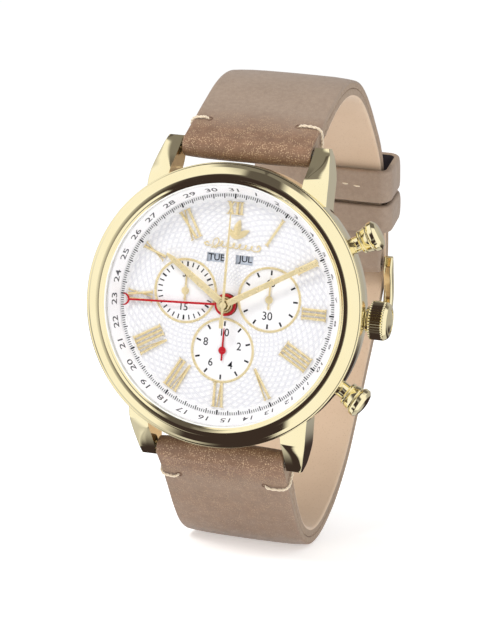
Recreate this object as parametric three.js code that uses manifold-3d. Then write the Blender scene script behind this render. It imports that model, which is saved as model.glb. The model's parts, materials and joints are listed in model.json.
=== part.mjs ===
// Chronograph wristwatch, buckled into a loop, in millimetres.
//
// Every sub-part is drawn in the dial's frame: origin at the centre of the dial's face, +X to
// 3 o'clock, +Y to 12 o'clock, +Z out of the dial. "Height" below means height over the dial's
// face. One group at the end turns that frame so that +Z points to 12 o'clock, the dial faces -Y,
// and the origin lies at the centre of the case back's outer face.
import * as THREE from 'three';
import { mergeVertices } from 'three/addons/utils/BufferGeometryUtils.js';
import Module from 'manifold-3d';

const wasm = await Module();
wasm.setup();

// ---------------------------------------------------------------- driving dimensions
const GAP = 0.1; // clearance between pieces that are fixed to each other
const RUN = 0.15; // clearance between pieces that move past each other
const ROUND = 48; // facets of a case-sized circle
const SMALL_ROUND = 20; // facets of a crown-sized circle

const CASE_RADIUS = 20.9;
const CASE_BORE = 18.4;
const CASE_TOP = 1.6;
const CASE_BOTTOM = -4.6;
const CASE_BACK_FACE = -7.5;
const BEZEL_CREST_RADIUS = 18.9;
const BEZEL_CREST = 3.6;
const CRYSTAL_RADIUS = 17.7;
const CRYSTAL_BOTTOM = 2.3;
const CRYSTAL_TOP = 3.5;
const DIAL_RADIUS = 17.6;
const DIAL_THICK = 0.4;
const FLANGE_INNER_RADIUS = 16.5;

const LUG_REACH = 24.1; // from the dial's centre line to a lug's tip
const LUG_SPAN = 20.4; // clear width between a pair of lugs
const LUG_WIDTH = 3.6;
const BAR_Y = 22.8; // spring bar axes
const BAR_Z = -4.6;
const BAR_RADIUS = 0.75;
const BAR_PIN = { radius: 0.4, reach: 0.9 }; // the thin ends that snap into the lugs
const STRAP_WIDTH = 19.8;
const STRAP_THICK = 3.1; // along the wrist's sides
const STRAP_TAIL_THICK = 2.6; // from the wrist's sides to the buckle
const STRAP_FOLD_THICK = 3.8; // where the leather folds round a spring bar

const STEM_HEIGHT = -2.0; // axis of the crown and of both pushers
const CROWN_RADIUS = 2.85;
const PUSHER_ANGLE = 30.3; // above and below 3 o'clock, in degrees
const PUSHER_BORE = 1.4; // inside the pusher's head, which slides over its tube by 0.8

const SUBDIALS = {
  minute_counter: { x: -6.45, y: 1.4, radius: 4.7 },
  running_seconds: { x: 6.45, y: 1.4, radius: 4.7 },
  tenth_counter: { x: 0, y: -6.8, radius: 4.7 },
};
const SUBDIAL_DEPTH = 0.15;
const WINDOWS = {
  day: { x: -2.3, y: 6.78, disc: { x: -5.6, y: 6.78 } },
  month: { x: 2.13, y: 6.78, disc: { x: 5.43, y: 6.78 } },
};
const WINDOW_SIZE = [2.7, 1.34];
const CALENDAR_DISC_RADIUS = 4.8;

// Roman numerals for 1 to 12, and the radius at which each one's foot stands.
const NUMERALS = ['I', 'II', 'III', 'IIII', 'V', 'VI', 'VII', 'VIII', 'IX', 'X', 'XI', 'XII'];
const NUMERAL_FEET = [10.7, 11.9, 11.55, 10.7, 10.3, 11.6, 10.6, 10.6, 11.45, 11.6, 10.7, 13.35];
const NUMERAL_HEAD = 15.2;
const NUMERAL_TOP = 0.35;
const LETTER_WIDTHS = { I: 0.36, V: 1.0, X: 1.0 };
const LETTER_GAP = 0.3;
const THICK_STROKE = 0.36;
const THIN_STROKE = 0.17;
const SERIF = 0.14;

// Height over the dial, reach from the centre, thickness and, for the batons, width, tail,
// hub and bore radius, and the angle each one stands at (anticlockwise from 12).
const HANDS = {
  hour: { height: 0.85, length: 11.6, thick: 0.25, width: 1.15, tail: 0.9, hub: 1.3, bore: 1.05, turn: 55 },
  minute: { height: 1.3, length: 15.7, thick: 0.22, width: 0.95, tail: 0.6, hub: 1.0, bore: 0.68, turn: -60 },
  chrono: { height: 1.75, length: 15.1, thick: 0.2, width: 0.4, tail: 3.4, hub: 0.8, bore: 0.1, turn: 0 },
  small: { height: 0.03, length: 3.3, thick: 0.13, width: 0.32, tail: 1.5, hub: 0.62, bore: 0.1, turn: 0 },
};
const DATE_HAND = { height: 0.45, thick: 0.15, width: 0.32, hub: 1.65, bore: 1.25 };
const DATE_CRESCENT = { centre: 15.85, inner: 0.72, outer: 0.98 };
const DATE_SHOWN = 23;

const GEAR_CENTRES = 3.6; // cannon pinion to minute wheel, and pinion to hour wheel
const MINUTE_WHEEL_ANGLE = 225;
const TEETH = { cannon: 12, wheel: 36, pinion: 10, hour: 40, date: 31 };
const DATE_MODULE = 0.17;
const PLATE_TOP = -2.5;
const MOVEMENT_RADIUS = 15.3;
const BATTERY = { x: 4.6, y: -6.6, radius: 4.75, top: -3.5, bottom: -5.6 };

// Bands round both strap layers: [y, z] of the middle, slope in degrees, width along the strap.
const KEEPERS = {
  fixed_keeper: { centre: [19.0, -53.9], slope: 22, width: 5.6 },
  sliding_keeper: { centre: [13.5, -56.2], slope: 20.5, width: 4.8 },
};
const KEEPER_HALF = [11.9, 4.7];
const KEEPER_CORNER = 2.2;
const KEEPER_WALL = 1.1;

// ---------------------------------------------------------------- materials
const finish = (color, roughness, metalness) =>
  new THREE.MeshStandardMaterial({ color, roughness, metalness });
const gold = () => finish(0xe3c779, 0.12, 1);
const darkGold = () => finish(0xc9a34e, 0.25, 1);
const brass = () => finish(0xb9a06a, 0.35, 1);
const steel = () => finish(0xb9bcc0, 0.3, 1);
const white = () => finish(0xf4f4f2, 0.5, 0);
const red = () => finish(0xc2202a, 0.35, 0);
const leather = () => finish(0xa0826c, 0.6, 0);
const rubber = () => finish(0x202022, 0.8, 0);
const glass = () => finish(0xffffff, 0.02, 0);

// ---------------------------------------------------------------- solids
const root = new THREE.Group();
const watch = new THREE.Group();
watch.rotation.x = Math.PI / 2;
watch.position.y = CASE_BACK_FACE;
root.add(watch);

const radians = (degrees) => (degrees * Math.PI) / 180;

// A closed geometry as a manifold-3d solid with its faces turned outwards.
function solid(geometry) {
  geometry.deleteAttribute('normal');
  geometry.deleteAttribute('uv');
  const merged = mergeVertices(geometry, 1e-4);
  const at = merged.attributes.position;
  const corner = [new THREE.Vector3(), new THREE.Vector3(), new THREE.Vector3()];
  const kept = [];
  let volume = 0;
  for (let i = 0; i < merged.index.count; i += 3) {
    const [a, b, c] = [0, 1, 2].map((k) => merged.index.getX(i + k));
    if (a === b || b === c || c === a) continue;
    corner.forEach((v, k) => v.fromBufferAttribute(at, [a, b, c][k]));
    volume += corner[0].dot(corner[1].clone().cross(corner[2]));
    kept.push([a, b, c]);
  }
  const triVerts = new Uint32Array(kept.flatMap(([a, b, c]) => (volume < 0 ? [a, c, b] : [a, b, c])));
  return new wasm.Manifold(new wasm.Mesh({ numProp: 3, vertProperties: at.array, triVerts }));
}

function geometryOf(manifold) {
  const made = manifold.getMesh();
  const geometry = new THREE.BufferGeometry();
  geometry.setAttribute('position', new THREE.BufferAttribute(new Float32Array(made.vertProperties), 3));
  geometry.setIndex(new THREE.BufferAttribute(new Uint32Array(made.triVerts), 1));
  return geometry;
}

function add(name, shape, material, place = {}) {
  const mesh = new THREE.Mesh(geometryOf(shape), material);
  mesh.name = name;
  mesh.position.set(place.x ?? 0, place.y ?? 0, place.z ?? 0);
  mesh.rotation.z = radians(place.turn ?? 0);
  watch.add(mesh);
  return mesh;
}

// A turned solid round +Z from a profile of [radius, height] points, which closes on itself.
function turned(profile, facets = ROUND) {
  const points = [...profile, profile[0]].map(([r, z]) => new THREE.Vector2(r, z));
  return solid(new THREE.LatheGeometry(points, facets).rotateX(Math.PI / 2));
}

const ringOf = (inner, outer, low, high, facets = ROUND) =>
  turned([[inner, low], [outer, low], [outer, high], [inner, high]], facets);

const discOf = (radius, low, high, facets = ROUND) =>
  turned([[0, low], [radius, low], [radius, high], [0, high]], facets);

function boxOf(low, high) {
  const size = high.map((value, i) => value - low[i]);
  const middle = high.map((value, i) => (value + low[i]) / 2);
  return solid(new THREE.BoxGeometry(...size).translate(...middle));
}

// A flat plate: an outline of [x, y] points between two heights.
function plate(outline, low, high) {
  const shape = new THREE.Shape(outline.map(([x, y]) => new THREE.Vector2(x, y)));
  const depth = high - low;
  return solid(new THREE.ExtrudeGeometry(shape, { depth, bevelEnabled: false }).translate(0, 0, low));
}

// A side profile of [y, z] points, drawn out along X from -width/2 to +width/2.
function drawnAcross(outline, width) {
  const shape = new THREE.Shape(outline.map(([y, z]) => new THREE.Vector2(y, z)));
  const made = new THREE.ExtrudeGeometry(shape, { depth: width, bevelEnabled: false });
  made.applyMatrix4(new THREE.Matrix4().set(0, 0, 1, -width / 2, 1, 0, 0, 0, 0, 1, 0, 0, 0, 0, 0, 1));
  return solid(made);
}

// A turned solid whose axis lies in the dial's plane, pointing away from the centre at an angle.
const radial = (shape, degrees, height = STEM_HEIGHT) =>
  shape.rotate([0, 90, 0]).rotate([0, 0, degrees]).translate([0, 0, height]);

const moved = (shape, x, y, z = 0) => shape.translate([x, y, z]);

// A spur gear's outline with straight-sided teeth.
function gearOutline(teeth, module, phase = 0) {
  const pitch = (2 * Math.PI) / teeth;
  const tip = (module * teeth) / 2 + 0.75 * module;
  const foot = (module * teeth) / 2 - 1.0 * module;
  const corners = [[-0.3, foot], [-0.12, tip], [0.12, tip], [0.3, foot]];
  const at = (i, [share, radius]) => {
    const angle = (i + phase + share) * pitch;
    return [radius * Math.cos(angle), radius * Math.sin(angle)];
  };
  return Array.from({ length: teeth }, (_, i) => corners.map((corner) => at(i, corner))).flat();
}

// ---------------------------------------------------------------- case
// A lug is a horn that leans outwards at its root and curves down to its tip.
function lug(sideX, sideY) {
  const topLine = [[13.0, 1.3], [17.5, 0.9], [20.5, -0.7], [22.8, -2.6], [LUG_REACH, -4.4]];
  const underLine = [[LUG_REACH - 0.2, -6.0], [23.0, -6.9], [21.0, -6.9], [17.5, -5.3], [13.0, CASE_BOTTOM]];
  const horn = drawnAcross([...topLine, ...underLine], LUG_WIDTH);
  const inner = LUG_SPAN / 2;
  const placed = moved(horn, inner + LUG_WIDTH / 2, 0);
  const lean = plate([[inner + 3.5, 12], [inner + 3.2, 17], [inner + 2.2, 25], [20, 25], [20, 12]], -9, 4);
  const scoop = plate([[inner - 1, 19.5], [inner + 1.9, 25], [inner - 1, 25]], -9, 4);
  const bevel = scoop.rotate([0, 18, 0]);
  const trimmed = placed.subtract(lean).subtract(bevel.intersect(boxOf([0, 19, -2.8], [20, 26, 4])));
  return trimmed.scale([sideX, sideY, 1]);
}

function springBar(y) {
  const { radius, reach } = BAR_PIN;
  const shoulder = LUG_SPAN / 2 - 0.3;
  const end = LUG_SPAN / 2 + reach;
  const profile = [
    [0, -end], [radius, -end], [radius, -shoulder], [BAR_RADIUS, -shoulder],
    [BAR_RADIUS, shoulder], [radius, shoulder], [radius, end], [0, end],
  ];
  return moved(turned(profile, 12).rotate([0, 90, 0]), 0, y, BAR_Z);
}

function makeCase() {
  const profile = [
    [CASE_BORE, CASE_BOTTOM], [19.4, CASE_BOTTOM], [20.3, CASE_BOTTOM + 0.5], [CASE_RADIUS - 0.15, -2.6],
    [CASE_RADIUS, -0.6], [CASE_RADIUS, CASE_TOP - 0.3], [CASE_RADIUS - 0.2, CASE_TOP],
    [CASE_BORE, CASE_TOP],
  ];
  let body = turned(profile);
  for (const sideX of [-1, 1]) {
    for (const sideY of [-1, 1]) body = body.add(lug(sideX, sideY));
  }
  body = body.subtract(discOf(CASE_BORE, -8, 3)).subtract(discOf(19.5, -8, CASE_BOTTOM));
  const pinHole = turned([[0, -11.3], [0.5, -11.3], [0.5, 11.3], [0, 11.3]], 12).rotate([0, 90, 0]);
  for (const side of [-1, 1]) body = body.subtract(moved(pinHole, 0, side * BAR_Y, BAR_Z));
  const tubeHole = discOf(1.25, 16, 23, SMALL_ROUND);
  for (const angle of [0, PUSHER_ANGLE, -PUSHER_ANGLE]) body = body.subtract(radial(tubeHole, angle));
  add('mid_case', body, gold());

  const bezel = [
    [CRYSTAL_RADIUS + 0.5, CASE_TOP + GAP], [CASE_RADIUS - 0.3, CASE_TOP + GAP],
    [CASE_RADIUS + 0.1, CASE_TOP + 0.4], [20.4, 2.7], [19.6, 3.35], [BEZEL_CREST_RADIUS, BEZEL_CREST],
    [18.3, CRYSTAL_TOP], [CRYSTAL_RADIUS + 0.5, 3.1],
  ];
  add('bezel', turned(bezel), gold());
  const crystal = [
    [0, CRYSTAL_BOTTOM], [CRYSTAL_RADIUS, CRYSTAL_BOTTOM], [CRYSTAL_RADIUS, CRYSTAL_TOP - 0.5],
    [CRYSTAL_RADIUS - 0.5, CRYSTAL_TOP - 0.1], [0, CRYSTAL_TOP],
  ];
  add('crystal', turned(crystal), glass());
  const seal = ringOf(CRYSTAL_RADIUS + GAP, CRYSTAL_RADIUS + 0.4, CRYSTAL_BOTTOM, CRYSTAL_TOP - 0.4);
  add('crystal_gasket', seal, rubber());
}

function makeCaseBack() {
  const profile = [
    [0, -6.3], [17.0, -6.3], [17.0, -4.4], [CASE_BORE - GAP, -4.4], [CASE_BORE - GAP, CASE_BOTTOM - GAP],
    [19.2, CASE_BOTTOM - GAP], [19.2, -5.6], [16.4, CASE_BACK_FACE], [0, CASE_BACK_FACE],
  ];
  let back = turned(profile);
  const notch = boxOf([18.3, -1.0, -7], [19.4, 1.0, -5.2]);
  for (let i = 0; i < 6; i += 1) back = back.subtract(notch.rotate([0, 0, 60 * i + 30]));
  add('case_back', back, gold());
  add('case_back_gasket', ringOf(17.2, CASE_BORE - GAP, -4.3, -3.9, 40), rubber());
}

// ---------------------------------------------------------------- dial
function makeDial() {
  let dial = discOf(DIAL_RADIUS, -DIAL_THICK, 0);
  dial = dial.subtract(discOf(1.7, -1, 1, SMALL_ROUND));
  for (const { x, y, radius } of Object.values(SUBDIALS)) {
    dial = dial.subtract(moved(discOf(radius, -SUBDIAL_DEPTH, 1, 40), x, y));
    dial = dial.subtract(moved(discOf(0.35, -1, 1, 12), x, y));
  }
  const [wide, high] = WINDOW_SIZE;
  for (const { x, y } of Object.values(WINDOWS)) {
    dial = dial.subtract(boxOf([x - wide / 2, y - high / 2, -1], [x + wide / 2, y + high / 2, 1]));
  }
  add('dial', dial, white());

  const flange = [
    [FLANGE_INNER_RADIUS, GAP], [DIAL_RADIUS, GAP], [DIAL_RADIUS + 0.2, 1.4],
    [DIAL_RADIUS + 0.2, CRYSTAL_BOTTOM - GAP], [17.5, CRYSTAL_BOTTOM - GAP], [FLANGE_INNER_RADIUS, 0.3],
  ];
  add('date_flange', turned(flange), white());
}

// A straight raised stroke from one point to another.
function stroke([fromX, fromY], [toX, toY], width) {
  const length = Math.hypot(toX - fromX, toY - fromY);
  const lean = THREE.MathUtils.radToDeg(Math.atan2(toX - fromX, toY - fromY));
  const bar = boxOf([-width / 2, 0, GAP], [width / 2, length, NUMERAL_TOP]);
  return moved(bar.rotate([0, 0, -lean]), fromX, fromY);
}

// The strokes of one letter that starts at x, as [foot x, head x, width].
function letterStrokes(letter, x) {
  const right = x + LETTER_WIDTHS[letter];
  const middle = (x + right) / 2;
  if (letter === 'I') return [[middle, middle, THICK_STROKE]];
  const heads = [x + THICK_STROKE / 2, right - THIN_STROKE / 2];
  const feet = letter === 'V' ? [middle, middle] : [right - THICK_STROKE / 2, x + THIN_STROKE / 2];
  return [[feet[0], heads[0], THICK_STROKE], [feet[1], heads[1], THIN_STROKE]];
}

// A numeral standing on the dial at 12 o'clock, its strokes joined by a serif at head and foot.
function numeralShape(letters, foot) {
  const width = [...letters].reduce((sum, c) => sum + LETTER_WIDTHS[c] + LETTER_GAP, -LETTER_GAP);
  const side = width / 2 + SERIF;
  let shape = boxOf([-side, NUMERAL_HEAD - SERIF, GAP], [side, NUMERAL_HEAD, NUMERAL_TOP]);
  if (letters !== 'V') shape = shape.add(boxOf([-side, foot, GAP], [side, foot + SERIF, NUMERAL_TOP]));
  let x = -width / 2;
  for (const letter of letters) {
    for (const [footX, headX, thickness] of letterStrokes(letter, x)) {
      shape = shape.add(stroke([footX, foot], [headX, NUMERAL_HEAD], thickness));
    }
    x += LETTER_WIDTHS[letter] + LETTER_GAP;
  }
  return shape;
}

function makeHourMarkers() {
  NUMERALS.forEach((letters, i) => {
    const name = `hour_marker_${String(i + 1).padStart(2, '0')}`;
    add(name, numeralShape(letters, NUMERAL_FEET[i]), darkGold(), { turn: -30 * (i + 1) });
  });
}

// Each disc turns on a post of the main plate and shows one sector through its window.
function makeCalendarDiscs() {
  for (const [name, { disc }] of Object.entries(WINDOWS)) {
    const hub = ringOf(0.45, 1.0, -1.6, -0.6, 16);
    const shape = ringOf(0.45, CALENDAR_DISC_RADIUS, -0.8, -0.6, 40).add(hub);
    add(`${name}_disc`, shape, white(), disc);
  }
}

// ---------------------------------------------------------------- hands
// A baton hand pointing to +Y: a hub ring, a short tail and a blade that narrows to its tip.
function baton({ height, length, thick, width, tail, hub, bore }) {
  const half = width / 2;
  const tip = half * 0.45;
  const shoulder = length * 0.75;
  const outline = [
    [-half, -tail], [half, -tail], [half, shoulder], [tip, length], [-tip, length], [-half, shoulder],
  ];
  const top = height + thick;
  const blade = plate(outline, height, top).add(discOf(hub, height, top, SMALL_ROUND));
  return blade.subtract(discOf(bore, -3, 4, 16));
}

function makeCentreHands() {
  const { hour, minute, chrono } = HANDS;
  add('hour_hand', baton(hour), darkGold(), { turn: hour.turn });
  add('minute_hand', baton(minute), darkGold(), { turn: minute.turn });
  const stalk = discOf(0.28, PLATE_TOP + 0.6, chrono.height + 0.3, 12);
  add('chrono_seconds_hand', baton(chrono).add(stalk), darkGold(), { turn: chrono.turn });
}

// A red ring and thin arm that carry an open crescent, which cups the date on the flange.
function makeDateHand() {
  const { height, thick, width, hub, bore } = DATE_HAND;
  const { centre, inner, outer } = DATE_CRESCENT;
  const top = height + thick;
  const [start, end] = [bore + 0.05, centre - (inner + outer) / 2];
  const arm = boxOf([-width / 2, start, height], [width / 2, end, top]);
  const fullRing = moved(ringOf(inner, outer, height, top, SMALL_ROUND), 0, centre);
  const crescent = fullRing.intersect(boxOf([-outer, centre - outer, 0], [outer, centre, 2]));
  const ring = ringOf(bore, hub, height, top + 0.05, SMALL_ROUND);
  const turn = (-360 * DATE_SHOWN) / TEETH.date;
  add('date_hand', ring.add(arm).add(crescent), red(), { turn });
}

function makeSmallHands() {
  const { height, thick } = HANDS.small;
  for (const [name, { x, y }] of Object.entries(SUBDIALS)) {
    const arbor = discOf(0.2, PLATE_TOP + 0.4, height + thick, 12);
    const material = name === 'tenth_counter' ? red() : darkGold();
    add(`${name}_hand`, baton(HANDS.small).add(arbor), material, { x, y });
  }
}

// ---------------------------------------------------------------- motion works
const MINUTE_WHEEL_AXIS = {
  x: GEAR_CENTRES * Math.cos(radians(MINUTE_WHEEL_ANGLE)),
  y: GEAR_CENTRES * Math.sin(radians(MINUTE_WHEEL_ANGLE)),
};

// The cannon pinion drives the minute wheel 1:3 and the wheel's pinion drives the hour wheel 1:4,
// so the hour wheel turns once for 12 turns of the cannon pinion. The date wheel turns above them.
function makeMotionWorks() {
  const fast = (2 * GEAR_CENTRES) / (TEETH.cannon + TEETH.wheel);
  const slow = (2 * GEAR_CENTRES) / (TEETH.pinion + TEETH.hour);

  const cannonTube = discOf(0.6, -2.1, HANDS.minute.height + 0.3, 16);
  const cannon = plate(gearOutline(TEETH.cannon, fast, 0.5), -2.1, -1.75).add(cannonTube);
  add('cannon_pinion', cannon.subtract(discOf(0.36, -3, 3, 16)), brass(), { turn: MINUTE_WHEEL_ANGLE });

  const pinion = plate(gearOutline(TEETH.pinion, slow), -1.9, -1.15);
  const wheel = plate(gearOutline(TEETH.wheel, fast), -2.05, -1.8).add(pinion);
  const bore = discOf(0.35, -3, 0, 12);
  const wheelPlace = { ...MINUTE_WHEEL_AXIS, turn: MINUTE_WHEEL_ANGLE - 180 };
  add('minute_wheel', wheel.subtract(bore), brass(), wheelPlace);

  const hourTube = discOf(1.0, -1.45, HANDS.hour.height + 0.35, SMALL_ROUND);
  const hourGear = plate(gearOutline(TEETH.hour, slow, 0.5), -1.45, -1.2).add(hourTube);
  add('hour_wheel', hourGear.subtract(discOf(0.72, -3, 3, 16)), brass(), { turn: MINUTE_WHEEL_ANGLE });

  const dateTube = discOf(1.22, -1.0, DATE_HAND.height + 0.3, SMALL_ROUND);
  const dateGear = plate(gearOutline(TEETH.date, DATE_MODULE), -1.0, -0.75).add(dateTube);
  add('date_wheel', dateGear.subtract(discOf(1.1, -3, 3, SMALL_ROUND)), brass());
}

// ---------------------------------------------------------------- movement
function makeMovement() {
  let mainPlate = discOf(MOVEMENT_RADIUS - GAP, -3.3, PLATE_TOP, 40);
  const post = discOf(0.25, -2.6, -1.2, 12);
  mainPlate = mainPlate.add(moved(post, MINUTE_WHEEL_AXIS.x, MINUTE_WHEEL_AXIS.y));
  for (const { disc } of Object.values(WINDOWS)) {
    mainPlate = mainPlate.add(moved(discOf(0.35, -2.6, -0.7, 12), disc.x, disc.y));
  }
  const stemSlot = boxOf([8.5, -1.2, -3.4], [16, 1.2, 0]);
  add('main_plate', mainPlate.subtract(stemSlot), brass());

  const [holderTop, holderStep] = [-DIAL_THICK - GAP, -3.8];
  const holder = turned([
    [MOVEMENT_RADIUS, -6.0], [16.8, -6.0], [16.8, holderStep], [CASE_BORE - 0.3, holderStep],
    [CASE_BORE - 0.3, holderTop], [MOVEMENT_RADIUS, holderTop],
  ], 40);
  const passage = radial(discOf(1.7, 14, 20, 16), 0);
  const pushLow = radial(discOf(1.9, 14, 20, 16), PUSHER_ANGLE);
  const pushHigh = radial(discOf(1.9, 14, 20, 16), -PUSHER_ANGLE);
  const slotTop = boxOf([15, -1.2, STEM_HEIGHT], [19, 1.2, 0]);
  const ring = [passage, pushLow, pushHigh, slotTop].reduce((shape, hole) => shape.subtract(hole), holder);
  add('movement_ring', ring, white());

  const { x, y, radius, top, bottom } = BATTERY;
  const cell = [
    [0, bottom], [radius, bottom], [radius, top - 0.6], [radius - 0.9, top - 0.4], [radius - 0.9, top],
    [0, top],
  ];
  add('battery', moved(turned(cell, 32), x, y), steel());

  const board = plate([[-13.5, -4], [-3.5, -4], [-1.5, 1], [4, 1], [4, 9.5], [-4, 13], [-13, 5]], -3.8, -3.5);
  add('circuit_board', board, finish(0x2d6b46, 0.5, 0));

  const core = boxOf([-11.9, -9.2, -5.0], [-2.6, -8.2, -4.2]);
  const winding = turned([[0, -4], [1.0, -4], [1.0, 4], [0, 4]], 16).rotate([0, 90, 0]);
  add('stepper_coil', core.add(moved(winding, -7.2, -8.7, -4.6)), finish(0xb5652b, 0.35, 0.6));

  const bridge = plate([[-10.5, 2.5], [-1, 0.5], [9.5, 2.5], [10.5, 8.5], [2, 12], [-8, 10.5]], -5.4, -4.2);
  add('train_bridge', bridge, steel());
}

// ---------------------------------------------------------------- crown and stem
function makeCrown() {
  const seat = CASE_RADIUS + GAP;
  const tube = [[0.8, 18.6], [1.15, 18.6], [1.15, seat], [2.0, seat], [2.0, 21.45], [0.8, 21.45]];
  add('crown_tube', radial(turned(tube, SMALL_ROUND), 0), steel());

  const knurl = gearOutline(28, (2 * CROWN_RADIUS) / 29.5);
  const grip = plate(knurl, 21.6, 24.0);
  const capProfile = [
    [0, 21.9], [CROWN_RADIUS - 0.15, 21.9], [CROWN_RADIUS - 0.15, 24.1], [2.35, 24.5], [1.3, 24.75],
    [0, 24.85],
  ];
  const neckRoom = discOf(1.9, 21, 22.6, SMALL_ROUND);
  const crown = grip.add(turned(capProfile, SMALL_ROUND)).subtract(neckRoom);
  const stemHole = discOf(0.6, 21, 23.4, 12);
  add('crown', radial(crown.subtract(stemHole), 0), gold());

  add('crown_gasket', radial(ringOf(1.3, 1.7, 21.75, 22.45, 16), 0), rubber());
  const stem = [
    [0, 9.2], [0.5, 9.2], [0.5, 11.4], [0.25, 11.4], [0.25, 12.0], [0.5, 12.0], [0.5, 23.2], [0, 23.2],
  ];
  add('winding_stem', radial(turned(stem, 12), 0), steel());

  // The setting lever's fork stands in the stem's groove and moves in and out with it.
  const fork = boxOf([11.55, -1.0, -2.35], [11.85, 1.0, -1.1]);
  const slot = boxOf([11.0, -0.33, -3], [12.5, 0.33, STEM_HEIGHT + 0.33]);
  add('setting_lever', fork.subtract(slot), steel());
}

// ---------------------------------------------------------------- pushers
// The head is a cap that slides over the tube; its stem runs through the tube's floor.
function pusherShape() {
  const profile = [
    [0, 17.4], [0.45, 17.4], [0.45, 20.8], [0.6, 20.8], [0.6, 23.3], [PUSHER_BORE, 23.3],
    [PUSHER_BORE, 21.9], [1.75, 21.9], [1.8, 22.6], [2.0, 23.4], [1.9, 23.6], [2.25, 23.8],
    [2.25, 24.6], [1.7, 25.05], [0, 25.25],
  ];
  return turned(profile, SMALL_ROUND);
}

// A compression spring round the pusher's stem, between the tube's floor and the pusher's head.
function springShape(radius, wire, start, end, turns) {
  const steps = turns * 10;
  const points = [];
  for (let i = 0; i <= steps; i += 1) {
    const angle = (2 * Math.PI * i) / 10;
    const z = start + ((end - start) * i) / steps;
    points.push(new THREE.Vector3(radius * Math.cos(angle), radius * Math.sin(angle), z));
  }
  const section = new THREE.Shape();
  section.absarc(0, 0, wire / 2, 0, 2 * Math.PI);
  const path = new THREE.CatmullRomCurve3(points);
  return solid(new THREE.ExtrudeGeometry(section, {
    steps, curveSegments: 3, extrudePath: path, bevelEnabled: false,
  }));
}

function makePushers() {
  const [floor, rim] = [18.7, 22.4];
  const tube = turned([
    [0.5, floor], [1.2, floor], [1.2, rim], [1.0, rim], [1.0, floor + 0.5], [0.5, floor + 0.5],
  ], SMALL_ROUND);
  const spring = springShape(0.8, 0.16, floor + 0.62, 23.18, 5);
  const sides = { start: PUSHER_ANGLE, reset: -PUSHER_ANGLE };
  for (const [name, angle] of Object.entries(sides)) {
    add(`${name}_pusher`, radial(pusherShape(), angle), gold());
    add(`${name}_pusher_tube`, radial(tube, angle), steel());
    add(`${name}_pusher_spring`, radial(spring, angle), steel());
  }
}

// ---------------------------------------------------------------- strap
// Middle lines of the two strap halves, [y, z], from a spring bar round the wrist to the back.
const UPPER_LINE = [
  [BAR_Y, BAR_Z], [25.4, -8.4], [28.3, -12.7], [31.0, -17.2], [32.7, -21.8], [33.3, -26.2], [32.9, -31.0],
  [31.4, -35.6], [29.2, -39.9], [26.5, -44.4], [23.6, -48.6], [20.3, -51.7], [15.5, -53.9], [10.2, -55.8],
  [4.6, -57.6],
];
const LOWER_LINE = [
  [-BAR_Y, BAR_Z], [-25.4, -7.6], [-28.5, -10.8], [-32.6, -15.2], [-35.9, -20.0], [-37.3, -25.4],
  [-36.7, -30.6], [-34.5, -35.8], [-31.3, -40.7], [-26.2, -45.7], [-19.4, -49.9], [-13.6, -53.3],
  [-7.2, -56.9], [-1.2, -59.6], [4.6, -61.2], [11.3, -59.0], [16.6, -57.0], [20.8, -55.2],
];

// Half the strap's thickness at a share of its length: thicker where it folds round a bar.
function halfThickness(along, length, foldedEnds) {
  const near = (distance) => Math.max(0, 1 - distance / 12) ** 2;
  const thin = Math.min(1, Math.max(0, (along / length - 0.4) / 0.2));
  const plain = STRAP_THICK + thin * (STRAP_TAIL_THICK - STRAP_THICK);
  const atBuckle = foldedEnds === 2 ? near(3 * (length - along)) : 0;
  return (plain + Math.max(near(along), atBuckle) * (STRAP_FOLD_THICK - plain)) / 2;
}

function strapShape(line, foldedEnds) {
  const curve = new THREE.SplineCurve(line.map(([y, z]) => new THREE.Vector2(y, z)));
  const steps = Math.round(1.6 * line.length);
  const length = curve.getLength();
  const sides = { left: [], right: [] };
  for (let i = 0; i <= steps; i += 1) {
    const share = i / steps;
    const point = curve.getPointAt(share);
    const along = curve.getTangentAt(share);
    const half = halfThickness(share * length, length, foldedEnds);
    sides.left.push([point.x - along.y * half, point.y + along.x * half]);
    sides.right.push([point.x + along.y * half, point.y - along.x * half]);
  }
  const cap = (share, direction) => {
    const point = curve.getPointAt(share);
    const along = curve.getTangentAt(share);
    const half = halfThickness(share * length, length, foldedEnds);
    return [1, 2, 3].map((k) => {
      const angle = (k * Math.PI) / 4;
      const [out, side] = [Math.sin(angle) * direction, Math.cos(angle) * direction];
      const [x, y] = [along.x * out - along.y * side, along.y * out + along.x * side];
      return [point.x + x * half, point.y + y * half];
    });
  };
  const outline = [...sides.left, ...cap(1, 1), ...sides.right.reverse(), ...cap(0, -1)];
  return drawnAcross(outline, STRAP_WIDTH);
}

const barHole = (y, z, radius) => moved(discOf(radius, -15, 15, 16).rotate([0, 90, 0]), 0, y, z);

const BUCKLE = { bar: UPPER_LINE.at(-1), half: 11.8, rail: 1.55, foot: -5.6 };
const TONGUE_HOLE = { half: 1.0, start: 1.2, end: 5.6 };
const TONGUE_ROOM = 1.9; // half the slot for the tongue's eye in the strap's buckle end

// A leather band round both strap layers, standing square to the strap at one place on it.
function keeperShape({ centre, slope, width }) {
  const band = (shape, grow) => {
    const [w, d, r] = [KEEPER_HALF[0] + grow, KEEPER_HALF[1] + grow, KEEPER_CORNER + grow];
    shape.moveTo(w - r, -d);
    shape.absarc(w - r, -d + r, r, -Math.PI / 2, 0);
    shape.absarc(w - r, d - r, r, 0, Math.PI / 2);
    shape.absarc(-w + r, d - r, r, Math.PI / 2, Math.PI);
    shape.absarc(-w + r, -d + r, r, Math.PI, 1.5 * Math.PI);
    return shape;
  };
  const ring = band(new THREE.Shape(), 0);
  ring.holes.push(band(new THREE.Path(), -KEEPER_WALL));
  const made = new THREE.ExtrudeGeometry(ring, { depth: width, curveSegments: 4, bevelEnabled: false });
  const shape = solid(made.translate(0, 0, -width / 2));
  return moved(shape.rotate([90 + slope, 0, 0]), 0, ...centre);
}

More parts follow.
